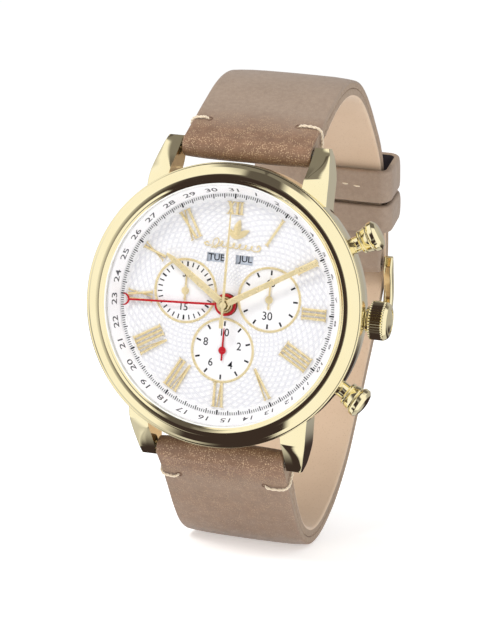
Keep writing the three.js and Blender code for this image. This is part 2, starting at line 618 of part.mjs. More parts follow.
function makeStrap() {
  const [barY, barZ] = BUCKLE.bar;
  let upper = strapShape(UPPER_LINE, 2);
  upper = upper.subtract(barHole(BAR_Y, BAR_Z, BAR_RADIUS + RUN)).subtract(barHole(barY, barZ, 0.9));
  upper = upper.subtract(boxOf([-TONGUE_ROOM, -1, -62], [TONGUE_ROOM, barY + 2.2, -50]));
  add('strap_upper', upper, leather());

  let lower = strapShape(LOWER_LINE, 1);
  lower = lower.subtract(barHole(-BAR_Y, BAR_Z, BAR_RADIUS + RUN));
  const { half, start, end } = TONGUE_HOLE;
  lower = lower.subtract(boxOf([-half, start, -70], [half, end, -50]));
  add('strap_lower', lower, leather());

  for (const [name, keeper] of Object.entries(KEEPERS)) add(name, keeperShape(keeper), leather());
}

function makeBuckle() {
  const [barY, barZ] = BUCKLE.bar;
  const { half, rail, foot } = BUCKLE;
  const side = [
    [5.9, -56.7], [6.0, -58.3], [1.0, -61.0], [-6.6, -61.1], [-7.3, -60.3], [-6.9, -59.4], [-1.0, -59.3],
    [3.4, -56.7],
  ];
  const block = drawnAcross(side, 2 * half);
  const inside = boxOf([-half + rail, foot, -70], [half - rail, barY + 4, -50]);
  const frame = block.subtract(inside).subtract(barHole(barY, barZ, 0.45));
  add('buckle_frame', frame, gold());

  const [shoulder, end] = [9.7, half - 0.2];
  const pin = turned([
    [0, -end], [0.35, -end], [0.35, -shoulder], [0.7, -shoulder], [0.7, shoulder], [0.35, shoulder],
    [0.35, end], [0, end],
  ], 12);
  add('buckle_bar', moved(pin.rotate([0, 90, 0]), 0, barY, barZ), steel());

  // The tongue leaves its eye square to the strap, passes through a hole and lies on the frame's foot.
  const eye = moved(ringOf(0.85, 1.35, -0.75, 0.75, 16).rotate([0, 90, 0]), 0, barY, barZ);
  const arm = drawnAcross([
    [4.7, -58.7], [4.0, -61.6], [2.8, -62.9], [0.5, -63.2], [-7.7, -62.1], [-7.9, -61.4], [0.5, -62.3],
    [2.4, -62.0], [3.1, -61.2], [3.7, -58.6],
  ], 1.4);
  const bore = barHole(barY, barZ, 0.85);
  add('buckle_tongue', eye.add(arm).subtract(bore), gold());
}

makeCase();
makeCaseBack();
makeDial();
makeHourMarkers();
makeCalendarDiscs();
makeCentreHands();
makeDateHand();
makeSmallHands();
makeMotionWorks();
makeMovement();
makeCrown();
makePushers();
add('spring_bar_top', springBar(BAR_Y), steel());
add('spring_bar_bottom', springBar(-BAR_Y), steel());
makeStrap();
makeBuckle();

export default root;
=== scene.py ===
import json
import math

import bmesh
import bpy
import numpy as np
from mathutils import Matrix, Vector, noise


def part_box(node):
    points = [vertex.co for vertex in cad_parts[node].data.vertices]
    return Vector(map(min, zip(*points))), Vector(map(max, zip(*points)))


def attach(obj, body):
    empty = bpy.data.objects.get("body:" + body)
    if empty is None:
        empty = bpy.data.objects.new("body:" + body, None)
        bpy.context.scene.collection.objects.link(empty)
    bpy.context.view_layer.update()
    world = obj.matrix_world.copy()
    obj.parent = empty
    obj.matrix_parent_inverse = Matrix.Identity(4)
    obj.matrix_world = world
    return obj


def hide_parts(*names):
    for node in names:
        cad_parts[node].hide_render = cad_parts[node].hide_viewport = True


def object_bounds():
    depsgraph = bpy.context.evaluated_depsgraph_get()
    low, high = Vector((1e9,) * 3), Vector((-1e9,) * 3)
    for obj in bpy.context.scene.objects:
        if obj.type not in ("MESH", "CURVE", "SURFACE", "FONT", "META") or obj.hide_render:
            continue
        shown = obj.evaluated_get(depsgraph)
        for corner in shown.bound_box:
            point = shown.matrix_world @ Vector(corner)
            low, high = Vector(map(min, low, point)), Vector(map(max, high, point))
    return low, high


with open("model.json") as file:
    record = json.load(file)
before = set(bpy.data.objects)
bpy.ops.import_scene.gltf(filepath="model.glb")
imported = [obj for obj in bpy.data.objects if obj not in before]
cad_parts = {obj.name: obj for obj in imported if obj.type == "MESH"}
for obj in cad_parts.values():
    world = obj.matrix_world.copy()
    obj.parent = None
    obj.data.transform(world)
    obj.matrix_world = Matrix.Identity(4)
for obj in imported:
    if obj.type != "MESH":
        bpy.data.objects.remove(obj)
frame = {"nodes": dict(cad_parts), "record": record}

CAD_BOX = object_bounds()

# ------------------------------------------------------------------ frame
# Everything is drawn in the dial's frame, in millimetres: x to 3 o'clock, y to 12 o'clock, z out of the dial.
MM = 0.001
DIAL_LOW, DIAL_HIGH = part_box("dial")
DIAL_CENTRE = Vector(((DIAL_LOW.x + DIAL_HIGH.x) / 2, DIAL_LOW.y, (DIAL_LOW.z + DIAL_HIGH.z) / 2))
ROW_AXES = Matrix(((MM, 0, 0, 0), (0, 0, -MM, 0), (0, MM, 0, 0), (0, 0, 0, 1)))
TO_ROW = Matrix.Translation(DIAL_CENTRE) @ ROW_AXES
FROM_ROW = TO_ROW.inverted()


def node_box(name):
    """Lowest and highest corners of a CAD node, in the dial's frame."""
    a, b = (FROM_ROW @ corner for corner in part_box(name))
    return Vector(map(min, a, b)), Vector(map(max, a, b))


def joint_point(name):
    """The point on a joint's axis, in the dial's frame."""
    joint = next(j for j in frame["record"]["behaviour"]["joints"] if j["name"] == name)
    return FROM_ROW @ Vector(joint["pos_m"])


# ------------------------------------------------------------------ materials
class Nodes:
    """A material's node tree, with short ways to add the nodes that the finishes share."""

    def __init__(self, name, **shader):
        self.material = bpy.data.materials.new(name)
        self.material.use_nodes = True
        self.tree = self.material.node_tree
        self.shader = self.tree.nodes["Principled BSDF"]
        self.coords = self.tree.nodes.new("ShaderNodeTexCoord").outputs["Object"]
        for socket, value in shader.items():
            self.shader.inputs[socket.replace("_", " ")].default_value = value

    def link(self, output, socket):
        self.tree.links.new(output, self.shader.inputs[socket])

    def add(self, kind, inputs=(), **settings):
        made = self.tree.nodes.new(kind)
        for key, value in settings.items():
            setattr(made, key, value)
        for key, value in dict(inputs).items():
            if isinstance(value, bpy.types.NodeSocket):
                self.tree.links.new(value, made.inputs[key])
            else:
                made.inputs[key].default_value = value
        return made

    def stretched(self, scale):
        return self.add("ShaderNodeMapping", {"Vector": self.coords, "Scale": scale}).outputs[0]

    def noise(self, scale, detail=2.0, roughness=0.5, vector=None, distortion=0.0):
        inputs = {"Vector": vector or self.coords, "Scale": scale, "Detail": detail,
                  "Roughness": roughness, "Distortion": distortion}
        return self.add("ShaderNodeTexNoise", inputs).outputs["Fac"]

    def cells(self, scale, feature="F1"):
        made = self.add("ShaderNodeTexVoronoi", {"Vector": self.coords, "Scale": scale}, feature=feature)
        return made.outputs["Distance"]

    def ramp(self, factor, *stops):
        made = self.add("ShaderNodeValToRGB", {"Fac": factor})
        elements = made.color_ramp.elements
        while len(elements) < len(stops):
            elements.new(0.5)
        for element, (position, colour) in zip(elements, stops):
            element.position = position
            element.color = (*colour, 1) if isinstance(colour, tuple) else (colour, colour, colour, 1)
        return made.outputs["Color"]

    def mix(self, factor, a, b, blend="MIX"):
        made = self.add("ShaderNodeMix", data_type="RGBA", blend_type=blend)
        for key, value in ((0, factor), (6, a), (7, b)):
            if isinstance(value, bpy.types.NodeSocket):
                self.tree.links.new(value, made.inputs[key])
            else:
                made.inputs[key].default_value = (*value, 1) if isinstance(value, tuple) else value
        return made.outputs[2]

    def math(self, operation, a, b=0.0):
        made = self.add("ShaderNodeMath", operation=operation)
        for key, value in ((0, a), (1, b)):
            if isinstance(value, bpy.types.NodeSocket):
                self.tree.links.new(value, made.inputs[key])
            else:
                made.inputs[key].default_value = value
        return made.outputs[0]

    def attribute(self, name):
        return self.add("ShaderNodeAttribute", attribute_name=name).outputs["Fac"]

    def bump(self, height, strength, distance, under=None):
        inputs = {"Height": height, "Strength": strength, "Distance": distance}
        if under:
            inputs["Normal"] = under
        normal = self.add("ShaderNodeBump", inputs).outputs[0]
        self.link(normal, "Normal")
        return normal


# Engine turning of the dial: where it starts and ends, cells round the dial, half its pitch and its depth.
TURNED_FROM, TURNED_TO = 1.9, 15.55
WAVES, RING_PITCH, RELIEF = 52, 0.45, 0.1


def srgb(red, green, blue):
    """A colour given as 0 to 255 in sRGB, as linear light."""
    return tuple(((c / 255 + 0.055) / 1.055) ** 2.4 if c > 10 else c / 3294.6 for c in (red, green, blue))


def metal(name, light, dark, rough, scratch=0.15, grain=(1, 1, 1), metallic=1.0):
    """Polished or brushed metal: two close tones, uneven gloss and hairline scratches."""
    n = Nodes(name, Metallic=metallic, Roughness=rough)
    patch = n.noise(180, 3)
    n.link(n.mix(patch, light, dark), "Base Color")
    hairlines = n.noise(9000, 2, vector=n.stretched(grain))
    n.link(n.ramp(n.noise(700, 4), (0.3, rough * 0.7), (0.75, rough * 1.4)), "Roughness")
    n.bump(hairlines, scratch, 0.000004)
    return n.material


def lacquer(name, light, dark, rough, coat=0.0, speck=0.1, painted_glow=0.0):
    """Paint, printing ink or moulded plastic: faint mottling and an orange-peel skin, with an optional painted
    glow, an emission that makes it brighter than its light allows.
    """
    n = Nodes(name, Coat_Weight=coat, Coat_Roughness=0.08,
              Emission_Color=(1, 1, 1, 1), Emission_Strength=painted_glow)
    n.link(n.mix(n.noise(900, 4), light, dark), "Base Color")
    n.link(n.ramp(n.noise(2500, 2), (0.3, rough * 0.85), (0.7, min(1.0, rough * 1.2))), "Roughness")
    n.bump(n.noise(6000, 2), speck, 0.000005)
    return n.material


def leather_material():
    """Waxed leather: smoky taupe, browner and crackled with pale specks where it is bent or worn."""
    n = Nodes("leather_waxed", Sheen_Weight=0.12, Sheen_Roughness=0.4)
    bend = n.attribute("bend")
    cloud = n.mix(n.noise(95, 5, 0.6), srgb(132, 112, 97), srgb(164, 144, 129))
    fine = n.mix(n.noise(1500, 4, 0.65), srgb(112, 90, 74), srgb(190, 170, 148))
    base = n.mix(0.42, cloud, fine)
    brown = n.mix(n.noise(520, 4, 0.65), srgb(92, 62, 42), srgb(150, 112, 84))
    uneven = n.math("MULTIPLY", n.math("SUBTRACT", n.noise(130, 4), 0.5), 0.4)
    strain = n.ramp(n.math("ADD", bend, uneven), (0.25, 0.0), (0.85, 1.0))
    base = n.mix(n.math("MULTIPLY", strain, 0.85), base, brown)
    clusters = n.ramp(n.noise(700, 3), (0.36, 0.0), (0.52, 1.0))
    specks = n.math("MULTIPLY", n.ramp(n.cells(4300), (0.16, 1.0), (0.4, 0.0)), clusters)
    speck_share = n.math("MULTIPLY", specks, n.math("ADD", n.math("MULTIPLY", strain, 0.7), 0.12))
    base = n.mix(speck_share, base, srgb(218, 188, 150))
    n.link(base, "Base Color")
    n.link(n.ramp(n.noise(600, 4), (0.3, 0.42), (0.7, 0.62)), "Roughness")
    grain = n.bump(n.ramp(n.cells(2100, "DISTANCE_TO_EDGE"), (0.0, 0.0), (0.12, 1.0)), 0.22, 0.00003)
    n.bump(n.noise(3600, 4, 0.6), 0.35, 0.00003, grain)
    return n.material


def lining_material():
    """Natural calf lining: even beige, matt, with fine pores."""
    n = Nodes("leather_lining", Sheen_Weight=0.2, Sheen_Roughness=0.5)
    cloud = n.mix(n.noise(70, 4, 0.6), srgb(196, 168, 140), srgb(214, 190, 165))
    n.link(n.mix(n.ramp(n.cells(2600), (0.05, 0.35), (0.3, 0.0)), cloud, srgb(160, 128, 100)), "Base Color")
    n.link(n.ramp(n.noise(900, 3), (0.3, 0.62), (0.7, 0.8)), "Roughness")
    n.bump(n.noise(3000, 5, 0.7), 0.35, 0.00003)
    return n.material


def edge_material():
    """Burnished cut edge: fine fibrous mottling and bumps."""
    n = Nodes("leather_edge")
    n.link(n.mix(n.noise(2600, 4, 0.7), srgb(120, 100, 84), srgb(186, 164, 142)), "Base Color")
    n.link(n.ramp(n.noise(1200, 3), (0.3, 0.5), (0.7, 0.75)), "Roughness")
    n.bump(n.noise(4200, 4, 0.7), 0.4, 0.00004)
    return n.material


def thread_material():
    n = Nodes("waxed_thread", Sheen_Weight=0.3)
    n.link(n.mix(n.noise(5000, 3), srgb(206, 184, 154), srgb(242, 230, 208)), "Base Color")
    n.link(n.ramp(n.noise(3000, 2), (0.3, 0.5), (0.7, 0.7)), "Roughness")
    n.bump(n.noise(14000, 2), 0.3, 0.00002)
    return n.material


def dial_material():
    """Silver-white satin lacquer, with painted shade that greys the grooves of the engine turning, and plain in
    the counters.
    """
    n = Nodes("dial_silver_white", Coat_Weight=0.2, Coat_Roughness=0.15)
    split = n.add("ShaderNodeSeparateXYZ", {0: n.add("ShaderNodeTexCoord").outputs["Object"]})
    x, depth, z = split.outputs
    radius = n.math("POWER", n.math("ADD", n.math("MULTIPLY", x, x), n.math("MULTIPLY", z, z)), 0.5)
    turns = n.math("MULTIPLY", n.math("ARCTAN2", x, z), WAVES / (2 * math.pi))
    rings = n.math("MULTIPLY", radius, 0.5 / (RING_PITCH * MM))
    lines = []
    for spiral in (n.math("ADD", turns, rings), n.math("SUBTRACT", turns, rings)):
        share = n.math("FRACT", n.math("ADD", spiral, 200.5))
        lines.append(n.math("ABSOLUTE", n.math("SUBTRACT", n.math("MULTIPLY", share, 2.0), 1.0)))
    groove_shade = n.ramp(n.math("MAXIMUM", lines[0], lines[1]), (0.45, 0.0), (1.0, 1.0))
    height = n.math("MULTIPLY", n.math("ADD", depth, -DIAL_CENTRE.y), -1 / MM)
    inside = n.ramp(n.math("MULTIPLY", radius, 0.02 / MM), (TURNED_TO * 0.02 - 0.004, 1.0),
                    (TURNED_TO * 0.02, 0.0))
    turned_part = n.math("MULTIPLY", n.ramp(n.math("ADD", height, 1.0), (0.91, 0.0), (0.92, 1.0)), inside)
    groove_shade = n.math("MULTIPLY", groove_shade, turned_part)
    light = n.mix(n.noise(1300, 3), srgb(243, 242, 243), srgb(252, 251, 250))
    # painted shade: the grooves are mixed towards blue-grey in the colour, on top of the real relief of the
    # dial's mesh
    n.link(n.mix(n.math("MULTIPLY", groove_shade, 0.75), light, srgb(196, 197, 208)), "Base Color")
    n.link(n.ramp(n.noise(3000, 2), (0.3, 0.28), (0.7, 0.4)), "Roughness")
    n.bump(n.noise(9000, 2), 0.08, 0.000004)
    return n.material


def crystal_material():
    """Clear mineral glass with anti-glare: mostly see-through, with a faint mirror at grazing angles."""
    n = Nodes("crystal_clear", Base_Color=(1, 1, 1, 1), Roughness=0.0)
    clear = n.add("ShaderNodeBsdfTransparent", {"Color": (0.944, 0.944, 0.948, 1)})
    mirror = n.add("ShaderNodeBsdfGlossy", {"Roughness": 0.0})
    fresnel = n.add("ShaderNodeFresnel", {"IOR": 1.25})
    smear = n.ramp(n.noise(300, 3), (0.4, 0.94), (0.6, 1.0))
    outer_face = n.math("SUBTRACT", 1.0, n.add("ShaderNodeNewGeometry").outputs["Backfacing"])
    share = n.math("MULTIPLY", n.math("MULTIPLY", fresnel.outputs[0], smear), outer_face)
    mix = n.add("ShaderNodeMixShader", {0: share, 1: clear.outputs[0], 2: mirror.outputs[0]})
    output = n.tree.nodes["Material Output"]
    n.tree.links.new(mix.outputs[0], output.inputs["Surface"])
    n.tree.nodes.remove(n.shader)
    return n.material


GOLD = metal("polished_gold", srgb(250, 240, 200), srgb(246, 233, 186), 0.05, 0.08)
DIAL_GOLD = metal("dial_gold", srgb(250, 234, 188), srgb(244, 224, 172), 0.28, 0.2, metallic=0.32)
BRUSHED_GOLD = metal("brushed_gold", srgb(244, 230, 184), srgb(236, 218, 166), 0.22, 0.5, (1, 0.05, 1))
STEEL = metal("steel", srgb(190, 190, 188), srgb(160, 160, 162), 0.25, 0.3)
BRASS = metal("movement_brass", srgb(200, 176, 116), srgb(176, 150, 94), 0.3, 0.4, (1, 1, 0.1))
COPPER = metal("copper_wire", srgb(200, 120, 70), srgb(170, 92, 52), 0.3, 0.6, (0.1, 1, 1))
RED = lacquer("red_enamel", srgb(196, 30, 42), srgb(180, 22, 34), 0.25, 0.4)
BLACK_INK = lacquer("black_ink", srgb(22, 22, 30), srgb(34, 34, 42), 0.5)
GREY_INK = lacquer("grey_ink", srgb(70, 69, 74), srgb(86, 85, 90), 0.5)
# The date ring glows a little: painted light, an emission that lifts its white.
FLANGE_GLOWING_WHITE = lacquer("flange_white_painted_glow", srgb(243, 241, 242), srgb(250, 248, 249), 0.4, 0.2, painted_glow=0.14)
DISC = lacquer("calendar_disc_blue", srgb(196, 204, 216), srgb(206, 213, 223), 0.5)
PLASTIC = lacquer("white_plastic", srgb(226, 226, 222), srgb(236, 236, 232), 0.55)
GREEN = lacquer("circuit_green", srgb(30, 92, 58), srgb(44, 110, 70), 0.4, 0.5)
RUBBER = lacquer("rubber_black", srgb(26, 26, 28), srgb(36, 36, 38), 0.8)
DIAL = dial_material()
CRYSTAL = crystal_material()
LEATHER = leather_material()
LINING = lining_material()
EDGE = edge_material()
THREAD = thread_material()
EDGE_DARK = lacquer("pressed_leather", srgb(104, 80, 64), srgb(126, 100, 82), 0.7, 0.0, 0.5)
# Near-black inner faces of the keeper loops: painted shade of the inside of the loop.
KEEPER_INSIDE_SHADE = lacquer("keeper_inside_painted_shade", srgb(44, 40, 46), srgb(62, 56, 60), 0.9, 0.0, 0.5)


# ------------------------------------------------------------------ mesh tools
class Batch:
    """Vertices and faces gathered into one mesh, each face with the index of its material."""

    def __init__(self):
        self.verts, self.faces, self.slots = [], [], []

    def add(self, verts, faces, matrix=None, slot=0):
        start = len(self.verts)
        for v in verts:
            self.verts.append(matrix @ Vector(v) if matrix else Vector(v))
        self.faces += [[start + i for i in f] for f in faces]
        self.slots += [slot] * len(faces)
        return self


def shade(mesh, sharp):
    """Smooth shading, with edges kept sharp above an angle in degrees."""
    mesh.shade_smooth()
    mesh.set_sharp_from_angle(angle=math.radians(sharp))


def make(name, batch, materials, body, sharp=38, replaces=(), matrix=None, merge=True):
    """A shown piece from a batch or a solid drawn in the dial's frame, riding on a CAD body."""
    if not isinstance(batch, Batch):
        batch = Batch().add(*batch)
    mesh = bpy.data.meshes.new(name)
    mesh.from_pydata([tuple(v) for v in batch.verts], [], batch.faces)
    materials = materials if isinstance(materials, (list, tuple)) else [materials]
    for m in materials:
        mesh.materials.append(m)
    mesh.polygons.foreach_set("material_index", batch.slots)
    mesh.transform(TO_ROW @ matrix if matrix else TO_ROW)
    tidy(mesh, merge)
    shade(mesh, sharp)
    piece = bpy.data.objects.new(name, mesh)
    bpy.context.scene.collection.objects.link(piece)
    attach(piece, body)
    if replaces:
        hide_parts(*([replaces] if isinstance(replaces, str) else replaces))
    return piece


def rounded(corners, steps=5):
    """A closed outline of (x, y, radius) corners, each turned into an arc of that radius."""
    out = []
    count = len(corners)
    for i, (x, y, radius) in enumerate(corners):
        here = Vector((x, y))
        a = Vector(corners[i - 1][:2]) - here
        b = Vector(corners[(i + 1) % count][:2]) - here
        if radius <= 0 or a.length < 1e-6 or b.length < 1e-6:
            out.append((x, y))
            continue
        a_unit, b_unit = a.normalized(), b.normalized()
        half = a_unit.angle(b_unit) / 2
        if half > math.radians(88):
            out.append((x, y))
            continue
        reach = min(radius / math.tan(half), a.length * 0.49, b.length * 0.49)
        true_radius = reach * math.tan(half)
        centre = here + (a_unit + b_unit).normalized() * (true_radius / math.sin(half))
        start, end = here + a_unit * reach - centre, here + b_unit * reach - centre
        angle = start.angle_signed(end)
        for k in range(steps + 1):
            turn = -angle * k / steps
            c, s = math.cos(turn), math.sin(turn)
            out.append((centre.x + start.x * c - start.y * s, centre.y + start.x * s + start.y * c))
    return out


def lathe(profile, segments=160, wave=None):
    """A solid turned round +Z from a closed outline of (radius, height) points."""
    verts, rings, faces = [], [], []
    for k, (r, z) in enumerate(profile):
        if r < 1e-6:
            rings.append([len(verts)])
            verts.append((0, 0, z))
            continue
        ring = []
        for j in range(segments):
            angle = 2 * math.pi * j / segments
            here = r - (wave(angle, r, z) if wave else 0)
            ring.append(len(verts))
            verts.append((here * math.cos(angle), here * math.sin(angle), z))
        rings.append(ring)
    for a, b in zip(rings, rings[1:] + rings[:1]):
        if len(a) == 1 and len(b) == 1:
            continue
        for j in range(segments):
            n = (j + 1) % segments
            if len(a) == 1:
                faces.append((a[0], b[j], b[n]))
            elif len(b) == 1:
                faces.append((a[j], b[0], a[n]))
            else:
                faces.append((a[j], b[j], b[n], a[n]))
    return verts, faces


def block(a, b):
    """A box between two corners."""
    outline = [(a[0], a[1]), (b[0], a[1]), (b[0], b[1]), (a[0], b[1])]
    return loft([[(x, y, z) for x, y in outline] for z in (a[2], b[2])])


def loft(sections, closed_ends=True):
    """A skin through sections that all have the same number of points."""
    count = len(sections[0])
    verts = [p for s in sections for p in s]
    faces = []
    for k in range(len(sections) - 1):
        for i in range(count):
            n = (i + 1) % count
            faces.append((k * count + i, k * count + n, (k + 1) * count + n, (k + 1) * count + i))
    if closed_ends:
        last = (len(sections) - 1) * count
        faces.append(tuple(range(count))[::-1])
        faces.append(tuple(range(last, last + count)))
    return verts, faces


def glyphs(text, height, stretch=1.0, depth=0.03, bold=0.0):
    """Upright text as a thin solid, centred on the origin, its capitals about that high."""
    curve = bpy.data.curves.new("glyphs", "FONT")
    curve.body, curve.size, curve.extrude, curve.resolution_u = text, height / 0.72, depth / 2, 3
    curve.offset = bold
    curve.align_x, curve.align_y = "CENTER", "CENTER"
    holder = bpy.data.objects.new("glyphs", curve)
    mesh = bpy.data.meshes.new_from_object(holder)
    verts = np.array([v.co[:] for v in mesh.vertices])
    middle = (verts.min(0) + verts.max(0)) / 2
    verts = (verts - middle) * (stretch, 1, 1)
    faces = [tuple(p.vertices) for p in mesh.polygons]
    bpy.data.objects.remove(holder)
    bpy.data.curves.remove(curve)
    bpy.data.meshes.remove(mesh)
    return verts, faces


def turned_to(degrees):
    """A turn about the dial's axis, clockwise as the wearer sees it."""
    return Matrix.Rotation(-math.radians(degrees), 4, "Z")


def outward(degrees, height):
    """Stands a piece turned round +Z on its side, so that its axis points away from the dial's centre."""
    heading = Matrix.Rotation(math.radians(degrees), 4, "Z")
    return Matrix.Translation((0, 0, height)) @ heading @ Matrix.Rotation(math.pi / 2, 4, "Y")


def tidy(mesh, merge=True):
    """Turns every face outwards, once vertices that coincide are merged."""
    work = bmesh.new()
    work.from_mesh(mesh)
    if merge:
        bmesh.ops.remove_doubles(work, verts=work.verts, dist=1e-7)
        bmesh.ops.dissolve_degenerate(work, edges=work.edges, dist=1e-7)
    bmesh.ops.recalc_face_normals(work, faces=work.faces)
    work.to_mesh(mesh)
    work.free()


def combine(piece, batch, operation):
    """Joins a batch of solids to a piece, or cuts it out of it, for good."""
    mesh = bpy.data.meshes.new("tool")
    mesh.from_pydata([tuple(v) for v in batch.verts], [], batch.faces)
    mesh.transform(TO_ROW)
    tidy(mesh)
    tool = bpy.data.objects.new("tool", mesh)
    bpy.context.scene.collection.objects.link(tool)
    step = piece.modifiers.new("combine", "BOOLEAN")
    step.operation, step.solver, step.object = operation, "EXACT", tool
    graph = bpy.context.evaluated_depsgraph_get()
    graph.update()
    shaped = bpy.data.meshes.new_from_object(piece.evaluated_get(graph))
    piece.modifiers.remove(step)
    old, piece.data = piece.data, shaped
    bpy.data.meshes.remove(old)
    bpy.data.objects.remove(tool)
    bpy.data.meshes.remove(mesh)


# ------------------------------------------------------------------ case
BEZEL_LOW, BEZEL_HIGH = node_box("bezel")
BEZEL_RADIUS = BEZEL_HIGH.x
CRYSTAL_LOW, CRYSTAL_HIGH = node_box("crystal")
CRYSTAL_RADIUS = CRYSTAL_HIGH.x
BACK_LOW, BACK_HIGH = node_box("case_back")
BAR_LOW, BAR_HIGH = node_box("spring_bar_top")
BAR_Y, BAR_Z = (BAR_LOW.y + BAR_HIGH.y) / 2, (BAR_LOW.z + BAR_HIGH.z) / 2
CASE_LOW, CASE_HIGH = node_box("mid_case")
CASE_TOP = BEZEL_LOW.z - 0.1
LUG_TIP, LUG_INNER = CASE_HIGH.y, 10.2
LUG_LEAN, LUG_FLAT = math.tan(math.radians(26)), 1.45
HOLLOW_FROM, HOLLOW_TOP, HOLLOW_END, HOLLOW_SAG = 19.6, 0.35, -4.45, 0.25
CROWN_LOW, CROWN_HIGH = node_box("crown")
CROWN_RADIUS = (CROWN_HIGH.y - CROWN_LOW.y) / 2
STEM_HEIGHT = (CROWN_LOW.z + CROWN_HIGH.z) / 2
PUSHER_ANGLE = 30.3
KEY_NOTCHES = 6


def smooth_line(points, steps):
    """Points on a smooth curve through control points, even in parameter."""
    pts = [Vector(p) for p in points]
    pts = [2 * pts[0] - pts[1], *pts, 2 * pts[-1] - pts[-2]]
    spans = len(pts) - 3
    out = []
    for k in range(steps + 1):
        t = spans * k / steps
        i = min(int(t), spans - 1)
        f = t - i
        a, b, c, d = pts[i:i + 4]
        square, cube = 2 * a - 5 * b + 4 * c - d, 3 * b - a - 3 * c + d
        out.append(0.5 * ((2 * b) + (c - a) * f + square * f * f + cube * f ** 3))
    return out


def lug_shape():
    """One horn, at 12 o'clock on the side of 3: a loft from inside the case band to the tip.

    Its front leans outwards, and near the tip a hollow is scooped out of the inner half."""
    steps = 40
    front = smooth_line([(13.0, 0.2), (17.5, -0.1), (20.5, -1.75), (22.8, -3.4), (LUG_TIP, -4.4)], steps)
    under = smooth_line([(13.0, -4.4), (17.5, -5.3), (20.3, -6.75), (22.6, -6.95), (LUG_TIP, -6.1)], steps)
    outer = smooth_line([(0, 13.85), (0.45, 13.6), (0.8, 12.95), (1.0, 12.4)], steps)
    sections = []
    for t, u, o in zip(front, under, outer):
        share = max(0.0, (t.x - HOLLOW_FROM) / (LUG_TIP - HOLLOW_FROM))
        hollow = HOLLOW_TOP + (HOLLOW_END - HOLLOW_TOP) * share - HOLLOW_SAG * math.sin(math.pi * share)
        full = min(LUG_FLAT, t.y + (o.y - LUG_INNER) * LUG_LEAN)
        ridge = min(full, hollow) if share else full
        edge = min(o.y - 0.2, max(LUG_INNER + 0.06, o.y - (ridge - t.y) / LUG_LEAN))
        section = [
            (LUG_INNER, u.x, u.y + 0.12 * (t.y - u.y)), (LUG_INNER, t.x, ridge - 0.05),
            (LUG_INNER + (edge - LUG_INNER) * 0.5, t.x, ridge - 0.02), (edge, t.x, ridge),
            (o.y - 0.08, t.x, t.y + 0.03), (o.y, t.x, t.y - 0.1),
            (o.y, u.x, u.y + 0.3), (o.y - 0.5, u.x, u.y),
        ]
        sections.append([rooted(*point) for point in section])
    return loft(sections)


def rooted(x, y, z):
    """Keeps a lug's root inside the band's wall, and clear of the case back."""
    y = max(y, math.sqrt(18.7 ** 2 - x * x))
    if math.hypot(x, y) < 19.6:
        z = max(z, -4.5)
    return x, y, z


def make_case():
    band = rounded([
        (18.4, CASE_TOP, 0.05), (18.4, -4.6, 0.05), (19.4, -4.6, 0.2), (20.3, -4.05, 0.5), (20.75, -2.6, 1.0),
        (20.9, -0.6, 1.0), (20.9, CASE_TOP - 0.25, 0.2), (20.65, CASE_TOP, 0.12),
    ], 6)
    piece = make("case_band", lathe(band, 256), GOLD, "case", 30, "mid_case")
    verts, faces = lug_shape()
    lugs = Batch()
    for side_x in (-1, 1):
        for side_y in (-1, 1):
            lugs.add(verts, faces, Matrix.Diagonal((side_x, side_y, 1, 1)))
    combine(piece, lugs, "UNION")
    hole = lathe([(0, 16), (1.25, 16), (1.25, 23), (0, 23)], 48)
    holes = Batch()
    for angle in (0, PUSHER_ANGLE, -PUSHER_ANGLE):
        holes.add(*hole, outward(angle, STEM_HEIGHT))
    combine(piece, holes, "DIFFERENCE")
    shade(piece.data, 30)
    soft = piece.modifiers.new("soft_edges", "BEVEL")
    soft.width, soft.segments, soft.limit_method, soft.angle_limit = 0.09 * MM, 2, "ANGLE", math.radians(34)
    soft.harden_normals = True


def make_bezel():
    base = BEZEL_LOW.z
    r = BEZEL_RADIUS
    profile = rounded([
        (18.2, base, 0.1), (r - 0.35, base, 0.05), (r - 0.3, base + 0.12, 0.05), (r - 0.02, base + 0.16, 0.1),
        (r, base + 0.5, 0.15), (r - 0.14, base + 0.66, 0.06), (r - 0.3, base + 0.68, 0.05),
        (20.3, base + 1.12, 0.8),
        (19.3, 3.55, 0.5), (18.62, 3.6, 0.12), (18.3, 3.3, 0.06), (18.2, 3.26, 0.05),
        (17.86, 3.05, 0.08), (17.84, 2.5, 0.05), (18.2, 2.5, 0.05),
    ], 8)
    make("bezel_polished", lathe(profile, 320), GOLD, "case", 24, "bezel")


def make_crystal():
    r, low, high = CRYSTAL_RADIUS, CRYSTAL_LOW.z, CRYSTAL_HIGH.z
    profile = rounded([(0, low, 0), (r, low, 0.05), (r, high - 0.5, 0.1), (r - 0.45, high - 0.1, 0.15),
                       (r - 2.5, high, 1), (0, high, 0)])
    piece = make("watch_crystal", lathe(profile, 192), CRYSTAL, "case", 30, "crystal")
    piece.visible_shadow = False


def make_case_back():
    face = BACK_LOW.z
    profile = rounded([
        (0, -6.3, 0), (17.0, -6.3, 0.1), (17.0, -4.4, 0.1), (18.3, -4.4, 0.1), (18.3, -4.7, 0.1),
        (19.2, -4.7, 0.15), (19.2, -5.6, 0.3), (16.4, face, 0.25), (13.6, face, 0.03),
        (13.5, face + 0.12, 0.03),
        (13.2, face + 0.12, 0.03), (13.1, face, 0.03), (0, face, 0),
    ])
    piece = make("case_back_cover", lathe(profile, 224), BRUSHED_GOLD, "case", 30, "case_back")
    notches = Batch()
    for i in range(KEY_NOTCHES):
        notches.add(*block((18.2, -1.0, -7), (19.6, 1.0, -5.2)), turned_to(360 / KEY_NOTCHES * (i + 0.5)))
    combine(piece, notches, "DIFFERENCE")
    shade(piece.data, 30)


